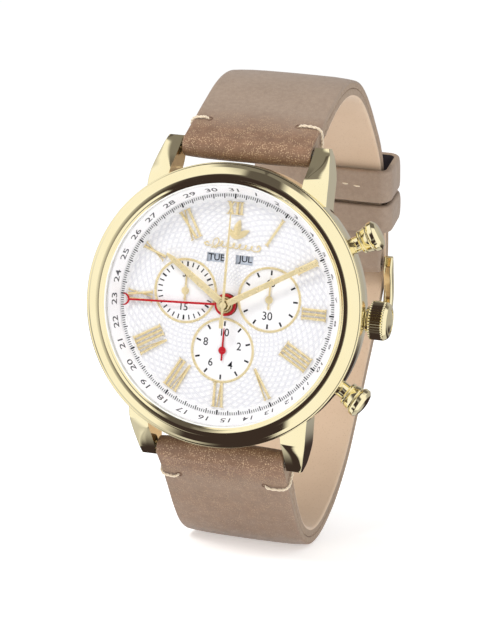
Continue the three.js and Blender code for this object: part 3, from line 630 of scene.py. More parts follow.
# ------------------------------------------------------------------ dial
DIAL_RADIUS = (DIAL_HIGH.x - DIAL_LOW.x) / 2 / MM
DIAL_THICK = (DIAL_HIGH.y - DIAL_LOW.y) / MM
DIAL_HOLE = 1.7
SUBDIAL_RADIUS, SUBDIAL_DEPTH = 4.7, 0.15
SUBDIAL_NAMES = ("minute_counter", "running_seconds", "tenth_counter")
SUBDIALS = {name: joint_point(f"{name}_turn") for name in SUBDIAL_NAMES}
WINDOWS = {"day": (-2.3, 6.78), "month": (2.13, 6.78)}
WINDOW_SIZE = (2.7, 1.34)


def dial_height(radius, angle):
    """Engine turning: a lattice of small cushions between two families of spiral grooves."""
    fade = max(0.0, min(1.0, (radius - TURNED_FROM) / 1.5, (TURNED_TO - radius) / 0.2))
    turns, rings = WAVES * angle / (2 * math.pi), radius / (2 * RING_PITCH)
    near = max(abs(2 * ((spiral + 0.5) % 1) - 1) for spiral in (turns + rings, turns - rings))
    return RELIEF * (fade * (1 - near ** 1.4) - 1)


def dial_rings():
    """The dial's rings, as (radius, height at an angle): out from the middle hole, and back below."""
    steps = int((TURNED_TO - TURNED_FROM) / RING_PITCH * 6)
    rings = [(DIAL_HOLE, lambda angle: -RELIEF), (TURNED_FROM, lambda angle: -RELIEF)]
    for k in range(steps):
        r = TURNED_FROM + (TURNED_TO - TURNED_FROM) * (k + 1) / steps
        rings.append((r, lambda angle, r=r: dial_height(r, angle)))
    rings += [(r, lambda angle: 0) for r in (TURNED_TO + 0.05, DIAL_RADIUS)]
    return rings + [(r, lambda angle: -DIAL_THICK) for r in (DIAL_RADIUS, DIAL_HOLE)]


def make_dial():
    around = WAVES * 10
    angles = [2 * math.pi * j / around for j in range(around)]
    sections = [[(r * math.cos(a), r * math.sin(a), height(a)) for a in angles] for r, height in dial_rings()]
    verts, faces = loft(sections, closed_ends=False)
    last = len(verts) - around
    faces += [(last + i, last + (i + 1) % around, (i + 1) % around, i) for i in range(around)]
    piece = make("dial_plate", (verts, faces), DIAL, "case", 50, "dial")
    wide, high = WINDOW_SIZE
    for x, y in WINDOWS.values():
        window = block((x - wide / 2, y - high / 2, -1), (x + wide / 2, y + high / 2, 1))
        combine(piece, Batch().add(*window), "DIFFERENCE")
    sunk = rounded([(0, -SUBDIAL_DEPTH, 0), (SUBDIAL_RADIUS, -SUBDIAL_DEPTH, 0.04),
                    (SUBDIAL_RADIUS, 0.6, 0), (0, 0.6, 0)])
    post_hole = [(0, -1), (0.35, -1), (0.35, 0.3), (0, 0.3)]
    for profile, segments in ((sunk, 160), (post_hole, 32)):
        cutters = Batch()
        for p in SUBDIALS.values():
            cutters.add(*lathe(profile, segments), Matrix.Translation((p.x, p.y, 0)))
        combine(piece, cutters, "DIFFERENCE")
    shade(piece.data, 50)

    rims = Batch()
    for p in SUBDIALS.values():
        rim = rounded([(4.5, -0.12, 0.02), (4.85, -0.12, 0.02), (4.85, 0.05, 0.07), (4.5, 0.05, 0.07)], 4)
        rims.add(*lathe(rim, 160), Matrix.Translation((p.x, p.y, 0)))
    make("subdial_rims", rims, DIAL_GOLD, "case", 30)


def tick(width, inner, outer, angle, height, matrix=Matrix()):
    """A printed bar lying along a radius."""
    verts, faces = block((-width / 2, inner, height), (width / 2, outer, height + 0.015))
    turn = matrix @ turned_to(angle)
    return [turn @ Vector(v) for v in verts], faces


def make_printing():
    track = Batch()
    for k in range(300):
        if k % 25 == 0:
            size = (0.25, 15.7, 16.4)
        elif k % 5 == 0:
            size = (0.16, 15.72, 16.38)
        else:
            size = (0.115, 15.93, 16.36)
        track.add(*tick(*size, k * 1.2, 0.002))
    floor = -SUBDIAL_DEPTH + 0.002
    for name, count, every in zip(SUBDIAL_NAMES, (30, 12, 10), (5, 3, 1)):
        p = SUBDIALS[name]
        place = Matrix.Translation((p.x, p.y, 0))
        for k in range(count):
            wide = 0.26 if k % every == 0 or count < 30 else 0.18
            track.add(*tick(wide, 3.62, 4.32, 360 * k / count, floor, place))
    make("minute_and_counter_tracks", track, BLACK_INK, "case")

    numbers = Batch()
    texts = {"minute_counter": [("30", 0, 2.55, 1.1), ("15", -0.05, -2.4, 1.15)],
             "running_seconds": [("60", 0, 2.45, 1.1), ("30", -0.1, -2.4, 1.25)],
             "tenth_counter": [("10", 0.15, 2.7, 1.2), ("2", 2.45, 0.85, 1.2), ("4", 1.35, -2.05, 1.2),
                               ("6", -1.7, -1.9, 1.2), ("8", -2.7, 1.05, 1.2)]}
    for name, items in texts.items():
        p = SUBDIALS[name]
        for text, x, y, size in items:
            verts, faces = glyphs(text, size, 0.95, 0.015, 0.008)
            numbers.add(verts, faces, Matrix.Translation((p.x + x, p.y + y, floor + 0.008)))
    make("counter_numbers", numbers, BLACK_INK, "case")


FLANGE_LOW, FLANGE_HIGH = node_box("date_flange")
FLANGE_FOOT, FLANGE_HEAD = (16.5, 0.3), (17.5, 2.2)


def make_flange():
    outer = FLANGE_HIGH.x
    profile = rounded([
        (FLANGE_FOOT[0], 0.1, 0.03), (17.6, 0.1, 0.05), (outer, 1.4, 0.05), (outer, FLANGE_HEAD[1], 0.04),
        (FLANGE_HEAD[0], FLANGE_HEAD[1], 0.06), (FLANGE_FOOT[0], FLANGE_FOOT[1], 0.04),
    ], 4)
    make("date_ring", lathe(profile, 256), FLANGE_GLOWING_WHITE, "case", 30, "date_flange")
    foot, head = Vector(FLANGE_FOOT), Vector(FLANGE_HEAD)
    along = (head - foot).normalized()
    out = Vector((-along.y, along.x))
    middle = foot + (head - foot) * 0.5
    numbers = Batch()
    for day in range(1, 32):
        verts, faces = glyphs(str(day), 1.08, 1.3, 0.012, 0.01)
        bent = []
        for x, y, z in verts:
            angle = math.radians(360 * day / 31) + x / middle.x
            spot = middle + along * y + out * (z + 0.012)
            bent.append((spot.x * math.sin(angle), spot.x * math.cos(angle), spot.y))
        numbers.add(bent, faces)
    make("date_numbers", numbers, GREY_INK, "case")


def bar(p, q, width, low, high):
    """A raised bar from p to q with a narrow flat along its top."""
    p, q = Vector(p), Vector(q)
    way = (q - p).normalized()
    side, pull = Vector((-way.y, way.x)) * width / 2, way * width * 0.15
    base = [p + side, p - side, q - side, q + side]
    top = [p + pull + side * 0.35, p + pull - side * 0.35, q - pull - side * 0.35, q - pull + side * 0.35]
    levels = ((base, low), (base, low + (high - low) * 0.45), (top, high))
    return loft([[(v.x, v.y, z) for v in ring] for ring, z in levels])


ROMAN = ["I", "II", "III", "IIII", "V", "VI", "VII", "VIII", "IX", "X", "XI", "XII"]
NUMERAL_FEET = [10.7, 11.9, 11.55, 10.7, 10.3, 11.6, 10.6, 10.6, 11.45, 11.6, 10.7, 13.35]
NUMERAL_HEAD, NUMERAL_LOW, NUMERAL_HIGH = 15.25, 0.05, 0.34
LETTER_WIDTH, LETTER_GAP = {"I": 0.36, "V": 1.0, "X": 1.0}, 0.3


def letter_bars(letter, x, foot, head):
    """One letter's strokes and serifs, as (start, end, width, how far below the numeral's top)."""
    right = x + LETTER_WIDTH[letter]
    middle, low, high = (x + right) / 2, foot + 0.07, head - 0.07
    if letter == "I":
        strokes = [((middle, foot), (middle, head), LETTER_WIDTH["I"], 0.0)]
        serifs = [(middle, low, 0.62), (middle, high, 0.62)]
    elif letter == "V":
        strokes = [((middle - 0.05, foot), (x + 0.2, head), 0.36, 0.0),
                   ((middle + 0.05, foot + 0.1), (right - 0.08, head), 0.17, 0.02)]
        serifs = [(x + 0.2, high, 0.6), (right - 0.08, high, 0.42)]
    else:
        strokes = [((right - 0.18, foot), (x + 0.18, head), 0.36, 0.0),
                   ((x + 0.1, foot), (right - 0.1, head), 0.16, 0.03)]
        serifs = [(x + 0.18, high, 0.58), (right - 0.1, high, 0.4),
                  (right - 0.18, low, 0.58), (x + 0.1, low, 0.4)]
    return strokes + [((a - w / 2, b), (a + w / 2, b), 0.14, 0.05) for a, b, w in serifs]


def make_numerals():
    """Applied Roman numerals, feet towards the centre."""
    for hour, (letters, foot) in enumerate(zip(ROMAN, NUMERAL_FEET), 1):
        batch = Batch()
        total = sum(LETTER_WIDTH[c] for c in letters) + LETTER_GAP * (len(letters) - 1)
        x = -total / 2 + (0.15 if hour == 12 else 0)
        for letter in letters:
            for start, end, width, lower in letter_bars(letter, x, foot, NUMERAL_HEAD):
                batch.add(*bar(start, end, width, NUMERAL_LOW, NUMERAL_HIGH - lower))
            x += LETTER_WIDTH[letter] + LETTER_GAP
        make(f"numeral_{hour:02d}", batch, DIAL_GOLD, "case", 20, f"hour_marker_{hour:02d}",
             matrix=turned_to(30 * hour), merge=False)


def ribbon(line, width, height=0.16):
    """A raised stroke along a flat line, as wide as width(share) at each share of its length."""
    sections = []
    for k, p in enumerate(line):
        ahead = line[min(k + 1, len(line) - 1)] - line[max(k - 1, 0)]
        side_way = Vector((-ahead.y, ahead.x)).normalized() * width(k / (len(line) - 1))
        a, b = p + side_way, p - side_way
        sections.append([(a.x, a.y, 0.04), (b.x, b.y, 0.04), (b.x, b.y, height * 0.7), (p.x, p.y, height),
                         (a.x, a.y, height * 0.7)])
    return loft(sections)


def make_ornament():
    """Plain applied decoration under the 12: loops between two curls, and three leaves above them."""
    batch = Batch()
    loops, start, pitch = 7, -2.9, 0.92
    line = []
    for k in range(loops * 24 + 1):
        t = k / 24
        swell = 0.42 - 0.12 * abs(t - 1.0) / loops + (0.34 if t < 1 else 0)
        angle = 2 * math.pi * t - math.pi / 2
        across, rise = swell * math.cos(angle), swell * math.sin(angle)
        line.append(Vector((start + pitch * t + 0.85 * across + 0.25 * rise, 8.95 - 0.05 * t + rise)))
    batch.add(*ribbon(line, lambda share: 0.045 + 0.04 * (0.5 + 0.5 * math.sin(share * loops * 2 * math.pi))))
    for points in ([(-3.0, 8.55), (-3.7, 8.45), (-4.1, 8.75), (-3.7, 9.0), (-3.4, 8.8)],
                   [(3.5, 8.2), (4.2, 8.3), (4.5, 8.8), (4.1, 9.1), (3.9, 8.7)]):
        batch.add(*ribbon(smooth_line(points, 24), lambda share: 0.05 + 0.05 * math.sin(math.pi * share)))
    for lean, reach in ((-52, 1.9), (-8, 2.9), (38, 2.3)):
        line = []
        for k in range(17):
            share = k / 16
            angle = math.radians(lean + 14 * share)
            line.append(Vector((0.75, 9.75)) + Vector((math.sin(angle), math.cos(angle))) * reach * share)
        widest = 0.19 * reach
        batch.add(*ribbon(line, lambda share: 0.02 + widest * math.sin(math.pi * share) ** 0.8, 0.22))
    make("dial_ornament", batch, DIAL_GOLD, "case", 25)


def make_calendar():
    for name, text, (x, y) in (("day", "TUE", WINDOWS["day"]), ("month", "JUL", WINDOWS["month"])):
        low, high = node_box(f"{name}_disc")
        centre = (low + high) / 2
        radius = (high.x - low.x) / 2
        top = high.z
        profile = rounded([(0.45, low.z, 0), (1.0, low.z, 0.05), (1.0, top - 0.2, 0),
                           (radius, top - 0.2, 0.03), (radius, top, 0.05), (0.45, top, 0)], 3)
        disc = Batch().add(*lathe(profile, 128), Matrix.Translation((centre.x, centre.y, 0)))
        verts, faces = glyphs(text, 0.98, 1.0, 0.01, 0.02)
        disc.add(verts, faces, Matrix.Translation((x, y, top + 0.006)), 1)
        make(f"{name}_calendar_disc", disc, [DISC, BLACK_INK], name, 30, f"{name}_disc")


# ------------------------------------------------------------------ hands
DATE_SHOWN = 23
CRESCENT, CRESCENT_CENTRE = 0.85, 15.85


def hand_blade(stations, low, high, bevel=0.35):
    """A hand lying along +Y: (distance, half width) stations, with a flat top between two bevels."""
    mid = low + (high - low) * (1 - bevel)
    sections = []
    for y, half in stations:
        top = half * 0.72
        sections.append([(-half, y, low), (half, y, low), (half, y, mid), (top, y, high), (-top, y, high),
                         (-half, y, mid)])
    return loft(sections)


def hub(radius, bore, low, high, round_off=0.06):
    """A round boss with rounded edges, with a bore or, where bore is 0, solid and slightly domed."""
    inside = (bore, low, 0.01 if bore else 0)
    last = (bore, high, 0.03) if bore else (0, high + 0.02, 0)
    return lathe(rounded([inside, (radius, low, round_off), (radius, high, round_off), last], 4), 72)


def make_hour_and_minute_hands():
    for name, angle, stations, radius, bore in (
        ("hour", 305, [(0.9, 0.56), (9.6, 0.44), (10.4, 0.4), (11.6, 0.16)], 1.17, 1.05),
        ("minute", 60, [(0.6, 0.48), (14.2, 0.35), (15.7, 0.32)], 0.9, 0.68),
    ):
        low, high = node_box(f"{name}_hand")
        batch = Batch().add(*hand_blade(stations, low.z, high.z))
        batch.add(*hub(radius, bore, low.z, high.z + 0.02))
        make(f"{name}_baton", batch, DIAL_GOLD, name, 20, f"{name}_hand",
             matrix=turned_to(angle), merge=False)


def make_sweep_hand():
    top = node_box("chrono_seconds_hand")[1].z
    stations = [(-3.4, 0.3), (-2.2, 0.34), (-1.4, 0.16), (0, 0.2), (9, 0.15), (15.1, 0.07)]
    batch = Batch().add(*hand_blade(stations, top - 0.3, top - 0.1))
    batch.add(*hub(0.52, 0, top - 0.3, top - 0.06)).add(*hub(0.22, 0, top - 0.1, top, 0.06))
    batch.add(*hub(0.28, 0, -1.9, top - 0.3))
    make("sweep_seconds_needle", batch, DIAL_GOLD, "chrono_seconds", 20, "chrono_seconds_hand",
         merge=False)


def make_date_hand():
    """A red pointer with a ring round the dial's middle, and a crescent that holds the day's number."""
    low, high = node_box("date_hand")
    base, top = low.z, low.z + 0.15
    shoulder = base + (top - base) * 0.7
    ring = rounded([(1.25, base, 0.02), (1.65, base, 0.05), (1.65, high.z, 0.06), (1.25, high.z, 0.04)], 4)
    batch = Batch().add(*lathe(ring, 96))
    batch.add(*hand_blade([(1.4, 0.17), (15.0, 0.15)], base, top, 0.3))
    crescent = []
    for k in range(25):
        share = math.pi * k / 24
        slim = 0.15 * (0.45 + 0.55 * math.sin(share))
        c, s = math.cos(math.pi + share), math.sin(math.pi + share)
        spots = ((CRESCENT - slim, base), (CRESCENT + slim, base), (CRESCENT + slim, shoulder),
                 (CRESCENT, top), (CRESCENT - slim, shoulder))
        crescent.append([(r * c, CRESCENT_CENTRE + r * s, z) for r, z in spots])
    batch.add(*loft(crescent))
    make("date_pointer", batch, RED, "date", 25, "date_hand",
         matrix=turned_to(360 * DATE_SHOWN / 31), merge=False)


def make_counter_hands():
    for name, p in SUBDIALS.items():
        red = name == "tenth_counter"
        node = f"{name}_hand"
        low, high = node_box(node)
        base, top = high.z - 0.13, high.z
        tail = [(-1.5, 0.13), (-0.8, 0.13)] if red else [(-1.5, 0.1), (-1.2, 0.2), (-0.8, 0.13)]
        batch = Batch().add(*hand_blade([*tail, (0, 0.15), (2.4, 0.12), (3.3, 0.05)], base, top, 0.4))
        batch.add(*hub(0.58, 0, base, top + 0.01, 0.05)).add(*hub(0.2, 0, low.z, base))
        make(f"{name}_needle", batch, RED if red else DIAL_GOLD, name, 20, node,
             matrix=Matrix.Translation((p.x, p.y, 0)), merge=False)


# ------------------------------------------------------------------ crown and pushers
def make_crown():
    r = CROWN_RADIUS
    base, tip = CROWN_LOW.x, CROWN_HIGH.x - 0.2
    teeth = 40
    low, high = base + 0.05, tip - 0.95

    def wave(angle, radius, z):
        if radius < r - 0.12 or not low <= z <= high:
            return 0
        share = (angle * teeth / (2 * math.pi)) % 1
        depth = 0.24 * (1 - abs(2 * share - 1))
        return depth * min(1, (z - low) / 0.15 + 0.3, (high - z) / 0.15 + 0.3)

    flank = [(r, base + 0.05 + (tip - 1.0 - base - 0.05) * k / 12) for k in range(13)]
    profile = [(0, base + 0.5), (1.85, base + 0.5), (1.85, base + 0.02), (2.4, base), (r - 0.1, base), *flank]
    profile += rounded([(r - 0.05, tip - 0.92, 0.03), (r - 0.14, tip - 0.74, 0.08), (2.42, tip - 0.36, 0.3),
                        (1.3, tip - 0.08, 0.8)], 6)
    profile += [(0.6, tip - 0.015), (0, tip)]
    batch = Batch().add(*lathe(profile, teeth * 8, wave))
    make("crown_fluted", batch, GOLD, "crown", 30, "crown", matrix=outward(0, STEM_HEIGHT))
    low, high = node_box("crown_tube")
    collar = rounded([(0.8, low.x, 0.02), (1.15, low.x, 0.05), (1.15, 20.95, 0.02), (1.95, 20.95, 0.05),
                      (1.95, high.x, 0.1), (0.8, high.x, 0.02)], 4)
    make("crown_collar", lathe(collar, 96), GOLD, "case", 30, "crown_tube",
         matrix=outward(0, STEM_HEIGHT))


def make_pushers():
    head = rounded([
        (0, 17.4, 0), (0.45, 17.4, 0.05), (0.45, 20.8, 0.05), (0.6, 20.8, 0.05), (0.6, 23.3, 0.02),
        (1.4, 23.3, 0.05), (1.4, 21.95, 0.03), (1.72, 21.95, 0.08), (1.78, 22.3, 0.1), (1.62, 22.42, 0.05),
        (1.8, 22.62, 0.2), (1.98, 23.4, 0.1), (1.86, 23.56, 0.06), (2.2, 23.78, 0.08), (2.25, 24.0, 0.1),
        (2.25, 24.55, 0.18), (1.75, 25.0, 0.35), (0.9, 25.2, 0.5), (0, 25.25, 0),
    ], 6)
    tube = rounded([(0.5, 18.7, 0.02), (1.2, 18.7, 0.05), (1.2, 22.4, 0.06), (1.0, 22.4, 0.04),
                    (1.0, 19.2, 0.04), (0.5, 19.2, 0.02)], 4)
    for name, angle in (("start", PUSHER_ANGLE), ("reset", -PUSHER_ANGLE)):
        node, matrix = f"{name}_pusher", outward(angle, STEM_HEIGHT)
        make(f"{name}_push_button", lathe(head, 112), GOLD, node, 30, node, matrix=matrix)
        make(f"{name}_push_tube", lathe(tube, 80), GOLD, "case", 30, f"{node}_tube", matrix=matrix)


# ------------------------------------------------------------------ strap
UPPER_LINE = [
    (BAR_Y, BAR_Z), (25.4, -8.4), (28.3, -12.7), (31.0, -17.2), (32.7, -21.8), (33.3, -26.2), (32.9, -31.0),
    (31.4, -35.6), (29.2, -39.9), (26.5, -44.4), (23.6, -48.6), (20.3, -51.7), (15.5, -53.9), (10.2, -55.8),
    (4.6, -57.6),
]
LOWER_LINE = [
    (-BAR_Y, BAR_Z), (-25.4, -7.6), (-28.5, -10.8), (-32.6, -15.2), (-35.9, -20.0), (-37.3, -25.4),
    (-36.7, -30.6), (-34.5, -35.8), (-31.3, -40.7), (-26.2, -45.7), (-19.4, -49.9), (-13.6, -53.3),
    (-7.2, -56.9), (-1.2, -59.6), (4.6, -61.2), (11.3, -59.0), (16.6, -57.0), (20.8, -55.2),
]
STRAP_LOW, STRAP_HIGH = node_box("strap_upper")
STRAP_WIDTH = STRAP_HIGH.x - STRAP_LOW.x
THICK, TAIL_THICK, FOLD_THICK = 3.1, 2.6, 3.8
SKIN, FOLD_BACK = 1.05, 9.0


class Line:
    """A smooth line in the plane across the strap, read by distance along it."""

    def __init__(self, points):
        self.points = [Vector(p) for p in smooth_line(points, 40 * (len(points) - 1))]
        steps = [(b - a).length for a, b in zip(self.points, self.points[1:])]
        self.at_point = np.concatenate([[0], np.cumsum(steps)])
        self.length = float(self.at_point[-1])
        self.ys = np.array([p.x for p in self.points])
        self.zs = np.array([p.y for p in self.points])

    def at(self, distance):
        return Vector([np.interp(distance, self.at_point, values) for values in (self.ys, self.zs)])

    def along(self, distance):
        return (self.at(distance + 0.15) - self.at(distance - 0.15)).normalized()


def half_thickness(distance, length, folds):
    near = lambda d: max(0.0, 1 - d / 12) ** 2
    thin = min(1.0, max(0.0, (distance / length - 0.4) / 0.2))
    plain = THICK + thin * (TAIL_THICK - THICK)
    at_buckle = near(3 * (length - distance)) if folds == 2 else 0
    return (plain + max(near(distance), at_buckle) * (FOLD_THICK - plain)) / 2


def leather_path(line, folds, outer_sign):
    """Stations of the outer leather: up the wrist side, round the bar, then along the outside.

    With two folds it also turns round the buckle's bar and comes back underneath."""
    end = line.length
    stations = []

    def layer(distance):
        return SKIN + 0.5 * min(1.0, max(0.0, (distance - 5) / 8))

    def face(distance, side):
        way = line.along(distance)
        return line.at(distance), way, Vector((-way.y, way.x)) * outer_sign * side

    def lay(distance, side, thick, sink=0.0):
        here, _, normal = face(distance, side)
        half = half_thickness(distance, end, folds)
        t = thick(distance, half)
        stations.append((here + normal * (half - sink - t / 2), normal, t, distance))

    def turn(distance, side, way_sign, steps):
        here, way, normal = face(distance, side)
        half = half_thickness(distance, end, folds)
        for k in range(1, steps):
            angle = math.pi * k / steps
            n = normal * math.cos(angle) + way * way_sign * math.sin(angle)
            stations.append((here + n * (half - SKIN / 2), n, SKIN, distance))

    def outside(distance, half):
        if folds == 1:
            return min(layer(distance), half * 1.02)
        return layer(distance) if distance < end - 6 else SKIN

    for k in range(18):
        d = FOLD_BACK * (1 - k / 18)
        skived = 0.25 + 0.75 * min(1.0, (FOLD_BACK - d) / 4)
        lay(d, -1, lambda distance, half: layer(distance) * skived, 0.3 * min(1.0, max(0.0, d - 6.3)))
    turn(0, -1, -1, 16)
    count = int(end / 0.6)
    for k in range(count + 1):
        lay(end * k / count, 1, outside)
    if folds == 2:
        turn(end, 1, 1, 12)
        for k in range(10):
            skived = 1 - 0.7 * max(0.0, (k - 5) / 5)
            lay(end - 7.0 * k / 10, -1, lambda distance, half: SKIN * skived)
    return stations


def section_outline(half_width, thick, crown):
    """Half-rounded long section: (x, offset, kind) round it, kind 0 face, 1 edge, 2 flesh side."""
    out = []
    r = min(0.42, thick * 0.38)
    across = [-1, -0.9, -0.7, -0.45, -0.2, 0, 0.2, 0.45, 0.7, 0.9, 1]
    flat = half_width - r
    for u in across:
        sink = crown * (u * u) ** 2
        out.append((u * flat, thick / 2 - sink, 0))
    for k in range(1, 5):
        a = math.pi / 2 * k / 5
        out.append((flat + r * math.sin(a), thick / 2 - crown - r * (1 - math.cos(a)), 0))
    low_r = min(0.16, thick * 0.2)
    out.append((half_width, thick / 2 - crown - r, 1))
    out.append((half_width, -thick / 2 + low_r, 1))
    out.append((half_width - low_r * 0.3, -thick / 2 + low_r * 0.3, 1))
    out.append((half_width - low_r, -thick / 2, 2))
    right = out[-1][0]
    for u in reversed(across[1:-1]):
        out.append((u * right, -thick / 2, 2))
    out.append((-right, -thick / 2, 1))
    out.append((-half_width + low_r * 0.3, -thick / 2 + low_r * 0.3, 1))
    out.append((-half_width, -thick / 2 + low_r, 1))
    out.append((-half_width, thick / 2 - crown - r, 0))
    for k in range(4, 0, -1):
        a = math.pi / 2 * k / 5
        out.append((-flat - r * math.sin(a), thick / 2 - crown - r * (1 - math.cos(a)), 0))
    return out


def band_mesh(name, stations, half_width, crown, materials, body="case", replaces=(), narrow=None,
              ripple=0.05, seed=0.0, near=None, matrix=None, ring=False):
    """A strip of leather swept along its stations of (spot, normal, thickness, distance)."""
    batch = Batch()
    sections, kinds, bends = [], None, []
    for i, (spot, normal, thick, distance) in enumerate(stations):
        width = half_width * (narrow(distance) if narrow else 1)
        outline = section_outline(width, thick, min(crown, thick * 0.2))
        kinds = [k for _, _, k in outline]
        points = []
        for x, off, kind in outline:
            wobble = 0
            if kind == 0:
                wobble = ripple * noise.noise(Vector((x * 0.22 + seed, spot.x * 0.22, spot.y * 0.22)))
            p = spot + normal * (off + wobble)
            points.append((x, p.x, p.y))
        sections.append(points)
        bends += [near(distance) if near else 0.0] * len(outline)
    verts, faces = loft(sections, closed_ends=not ring)
    count = len(kinds)
    if ring:
        last = len(verts) - count
        faces += [(last + i, last + (i + 1) % count, (i + 1) % count, i) for i in range(count)]
    batch.add(verts, faces)
    for f in range(len(batch.slots) - (0 if ring else 2)):
        batch.slots[f] = kinds[f % count]
    if not ring:
        batch.slots[-2:] = [1, 1]
    piece = make(name, batch, materials, body, 50, replaces, matrix=matrix, merge=False)
    strain = piece.data.attributes.new("bend", "FLOAT", "POINT")
    strain.data.foreach_set("value", bends)


def lining_path(line, folds, outer_sign, start):
    stations = []
    end = line.length - (8.0 if folds == 2 else 0.0)
    count = int((end - start) / 0.8)
    for k in range(count + 1):
        d = start + (end - start) * k / count
        here, way = line.at(d), line.along(d)
        normal = Vector((way.y, -way.x)) * outer_sign
        half = half_thickness(d, line.length, folds)
        show = min(1.55, half * 1.02) if folds == 1 else 1.55
        t = max(0.5, 2 * half - show - 0.04) * min(1.0, 0.35 + (d - start) / 3)
        stations.append((here + normal * (half - t / 2), normal, t, d))
    return stations


def core_path(line, folds, outer_sign, start, end):
    """Stations of the filler that is glued between the outer leather and its folded end."""
    stations = []
    count = int((end - start) / 0.4)
    for k in range(count + 1):
        d = start + (end - start) * k / count
        way = line.along(d)
        normal = Vector((-way.y, way.x)) * outer_sign
        half = half_thickness(d, line.length, folds)
        skin = SKIN + 0.5 * min(1.0, max(0.0, (d - 5) / 8)) if start < 5 else SKIN
        thick = (2 * half - 0.5 - skin) * min(1.0, 0.45 + (d - start) / 1.5, 0.45 + (end - d) / 1.5)
        stations.append((line.at(d) + normal * (0.5 - skin) / 2, normal, thick, d))
    return stations


WORN = 0.52


def make_strap():
    half = STRAP_WIDTH / 2
    upper, lower = Line(UPPER_LINE), Line(LOWER_LINE)
    near = lambda d: max(0.0, 1 - d / 11)
    tip_from = lower.length - 7
    tip = lambda d: math.sqrt(max(0.02, 1 - max(0.0, (d - tip_from) / 7.05) ** 2)) if d > tip_from else 1.0
    faces = [LEATHER, EDGE, LINING]
    lined = [LINING, EDGE, LINING]
    band_mesh("strap_upper_leather", leather_path(upper, 2, 1), half, 0.3, faces, replaces="strap_upper",
              near=near)
    band_mesh("strap_upper_lining", lining_path(upper, 2, 1, 7.5), half - 0.05, 0.05, lined, ripple=0.03,
              seed=7)
    for end_name, line, folds, sign, start, end in (
        ("upper_lug_end", upper, 2, 1, 1.4, 12.8),
        ("lower_lug_end", lower, 1, -1, 1.4, 12.8),
        ("upper_buckle_end", upper, 2, 1, upper.length - 9.0, upper.length - 1.4),
    ):
        band_mesh(f"strap_filler_{end_name}", core_path(line, folds, sign, start, end), half - 0.12, 0.0,
                  [EDGE, EDGE, EDGE], ripple=0.0)
    band_mesh("strap_lower_leather", leather_path(lower, 1, -1), half, 0.3, faces, replaces="strap_lower",
              narrow=tip, near=lambda d: max(near(d), WORN), seed=3)
    band_mesh("strap_lower_lining", lining_path(lower, 1, -1, 7.5), half - 0.05, 0.05, lined, narrow=tip,
              ripple=0.03, seed=11)


def placed(origin, across, along, out):
    """A local frame as a matrix: its x, y and z directions in the dial's frame, and its origin."""
    matrix = Matrix((across, along, out)).transposed().to_4x4()
    matrix.translation = origin
    return matrix


def make_keepers():
    """Leather loops round both layers of the strap, standing square to it."""
    half_x, half_d, corner, wall = 11.9, 4.7, 2.2, 1.1
    for name, body, centre, slope, width in (
        ("fixed_keeper", "case", (19.0, -53.9), 22, 5.6),
        ("sliding_keeper", "sliding_keeper", (13.5, -56.2), 20.5, 4.8),
    ):
        outline = rounded([(half_x, -half_d, corner), (half_x, half_d, corner), (-half_x, half_d, corner),
                           (-half_x, -half_d, corner)], 8)
        path, count = [], len(outline)
        for i, (a, b) in enumerate(zip(outline, outline[1:] + outline[:1])):
            a, b = Vector(a), Vector(b)
            parts = max(1, int((b - a).length / 1.2))
            path += [a + (b - a) * k / parts for k in range(parts)]
        stations = []
        for i, p in enumerate(path):
            way = (path[(i + 1) % len(path)] - path[i - 1]).normalized()
            normal = Vector((way.y, -way.x))
            stations.append((p - normal * wall / 2, normal, wall, 0))
        tilt = math.radians(slope)
        # the strap runs towards -y and away from the dial there; the loop's width lies along it
        along = Vector((0, -math.cos(tilt), -math.sin(tilt)))
        out = Vector((0, math.sin(tilt), -math.cos(tilt)))
        matrix = placed(Vector((0, *centre)), along, Vector((1, 0, 0)), out)
        if name == "fixed_keeper":
            marks = Batch()
            for k in range(2):
                start = Vector((-0.45 + 0.25 * k, 3.7 + 2.0 * k, -half_d - 0.02))
                line = []
                for i in range(13):
                    t = i / 12
                    line.append(start + Vector((0.1 * t, 1.1 * t, -0.14 * math.sin(math.pi * t) + 0.12)))
                marks.add(*tube(line, lambda share: 0.08 + 0.07 * math.sin(math.pi * share)))
            make("keeper_stitch_marks", marks, THREAD, "case", 50, matrix=matrix)
        # the loop's inner faces take the near-black material: painted shade inside the loop
        band_mesh(f"{name}_loop", stations, width / 2, 0.12, [LEATHER, EDGE, KEEPER_INSIDE_SHADE], body, name,
                  ripple=0.12, seed=centre[0], near=lambda d: 0.3 * WORN, matrix=matrix, ring=True)


def tube(points, radius, sides=10):
    """A round solid along points, with closed ends."""
    sections = []
    up = Vector((0, 0, 1))
    for i, p in enumerate(points):
        way = (points[min(i + 1, len(points) - 1)] - points[max(i - 1, 0)]).normalized()
        side = way.cross(up)
        side = side.normalized() if side.length > 1e-4 else way.orthogonal().normalized()
        up = side.cross(way)
        r = radius(i / (len(points) - 1)) if callable(radius) else radius
        sections.append([p + (side * math.cos(a) + up * math.sin(a)) * r for a in (2 * math.pi * k / sides for k in range(sides))])
    return loft(sections)


def smooth_path(points, steps):
    """smooth_line for points in space."""
    flat = smooth_line([Vector(p[:2]) for p in points], steps)
    deep = smooth_line([Vector((p[2], 0)) for p in points], steps)
    return [Vector((a.x, a.y, b.x)) for a, b in zip(flat, deep)]


BUCKLE_BAR = (4.6, -57.6)


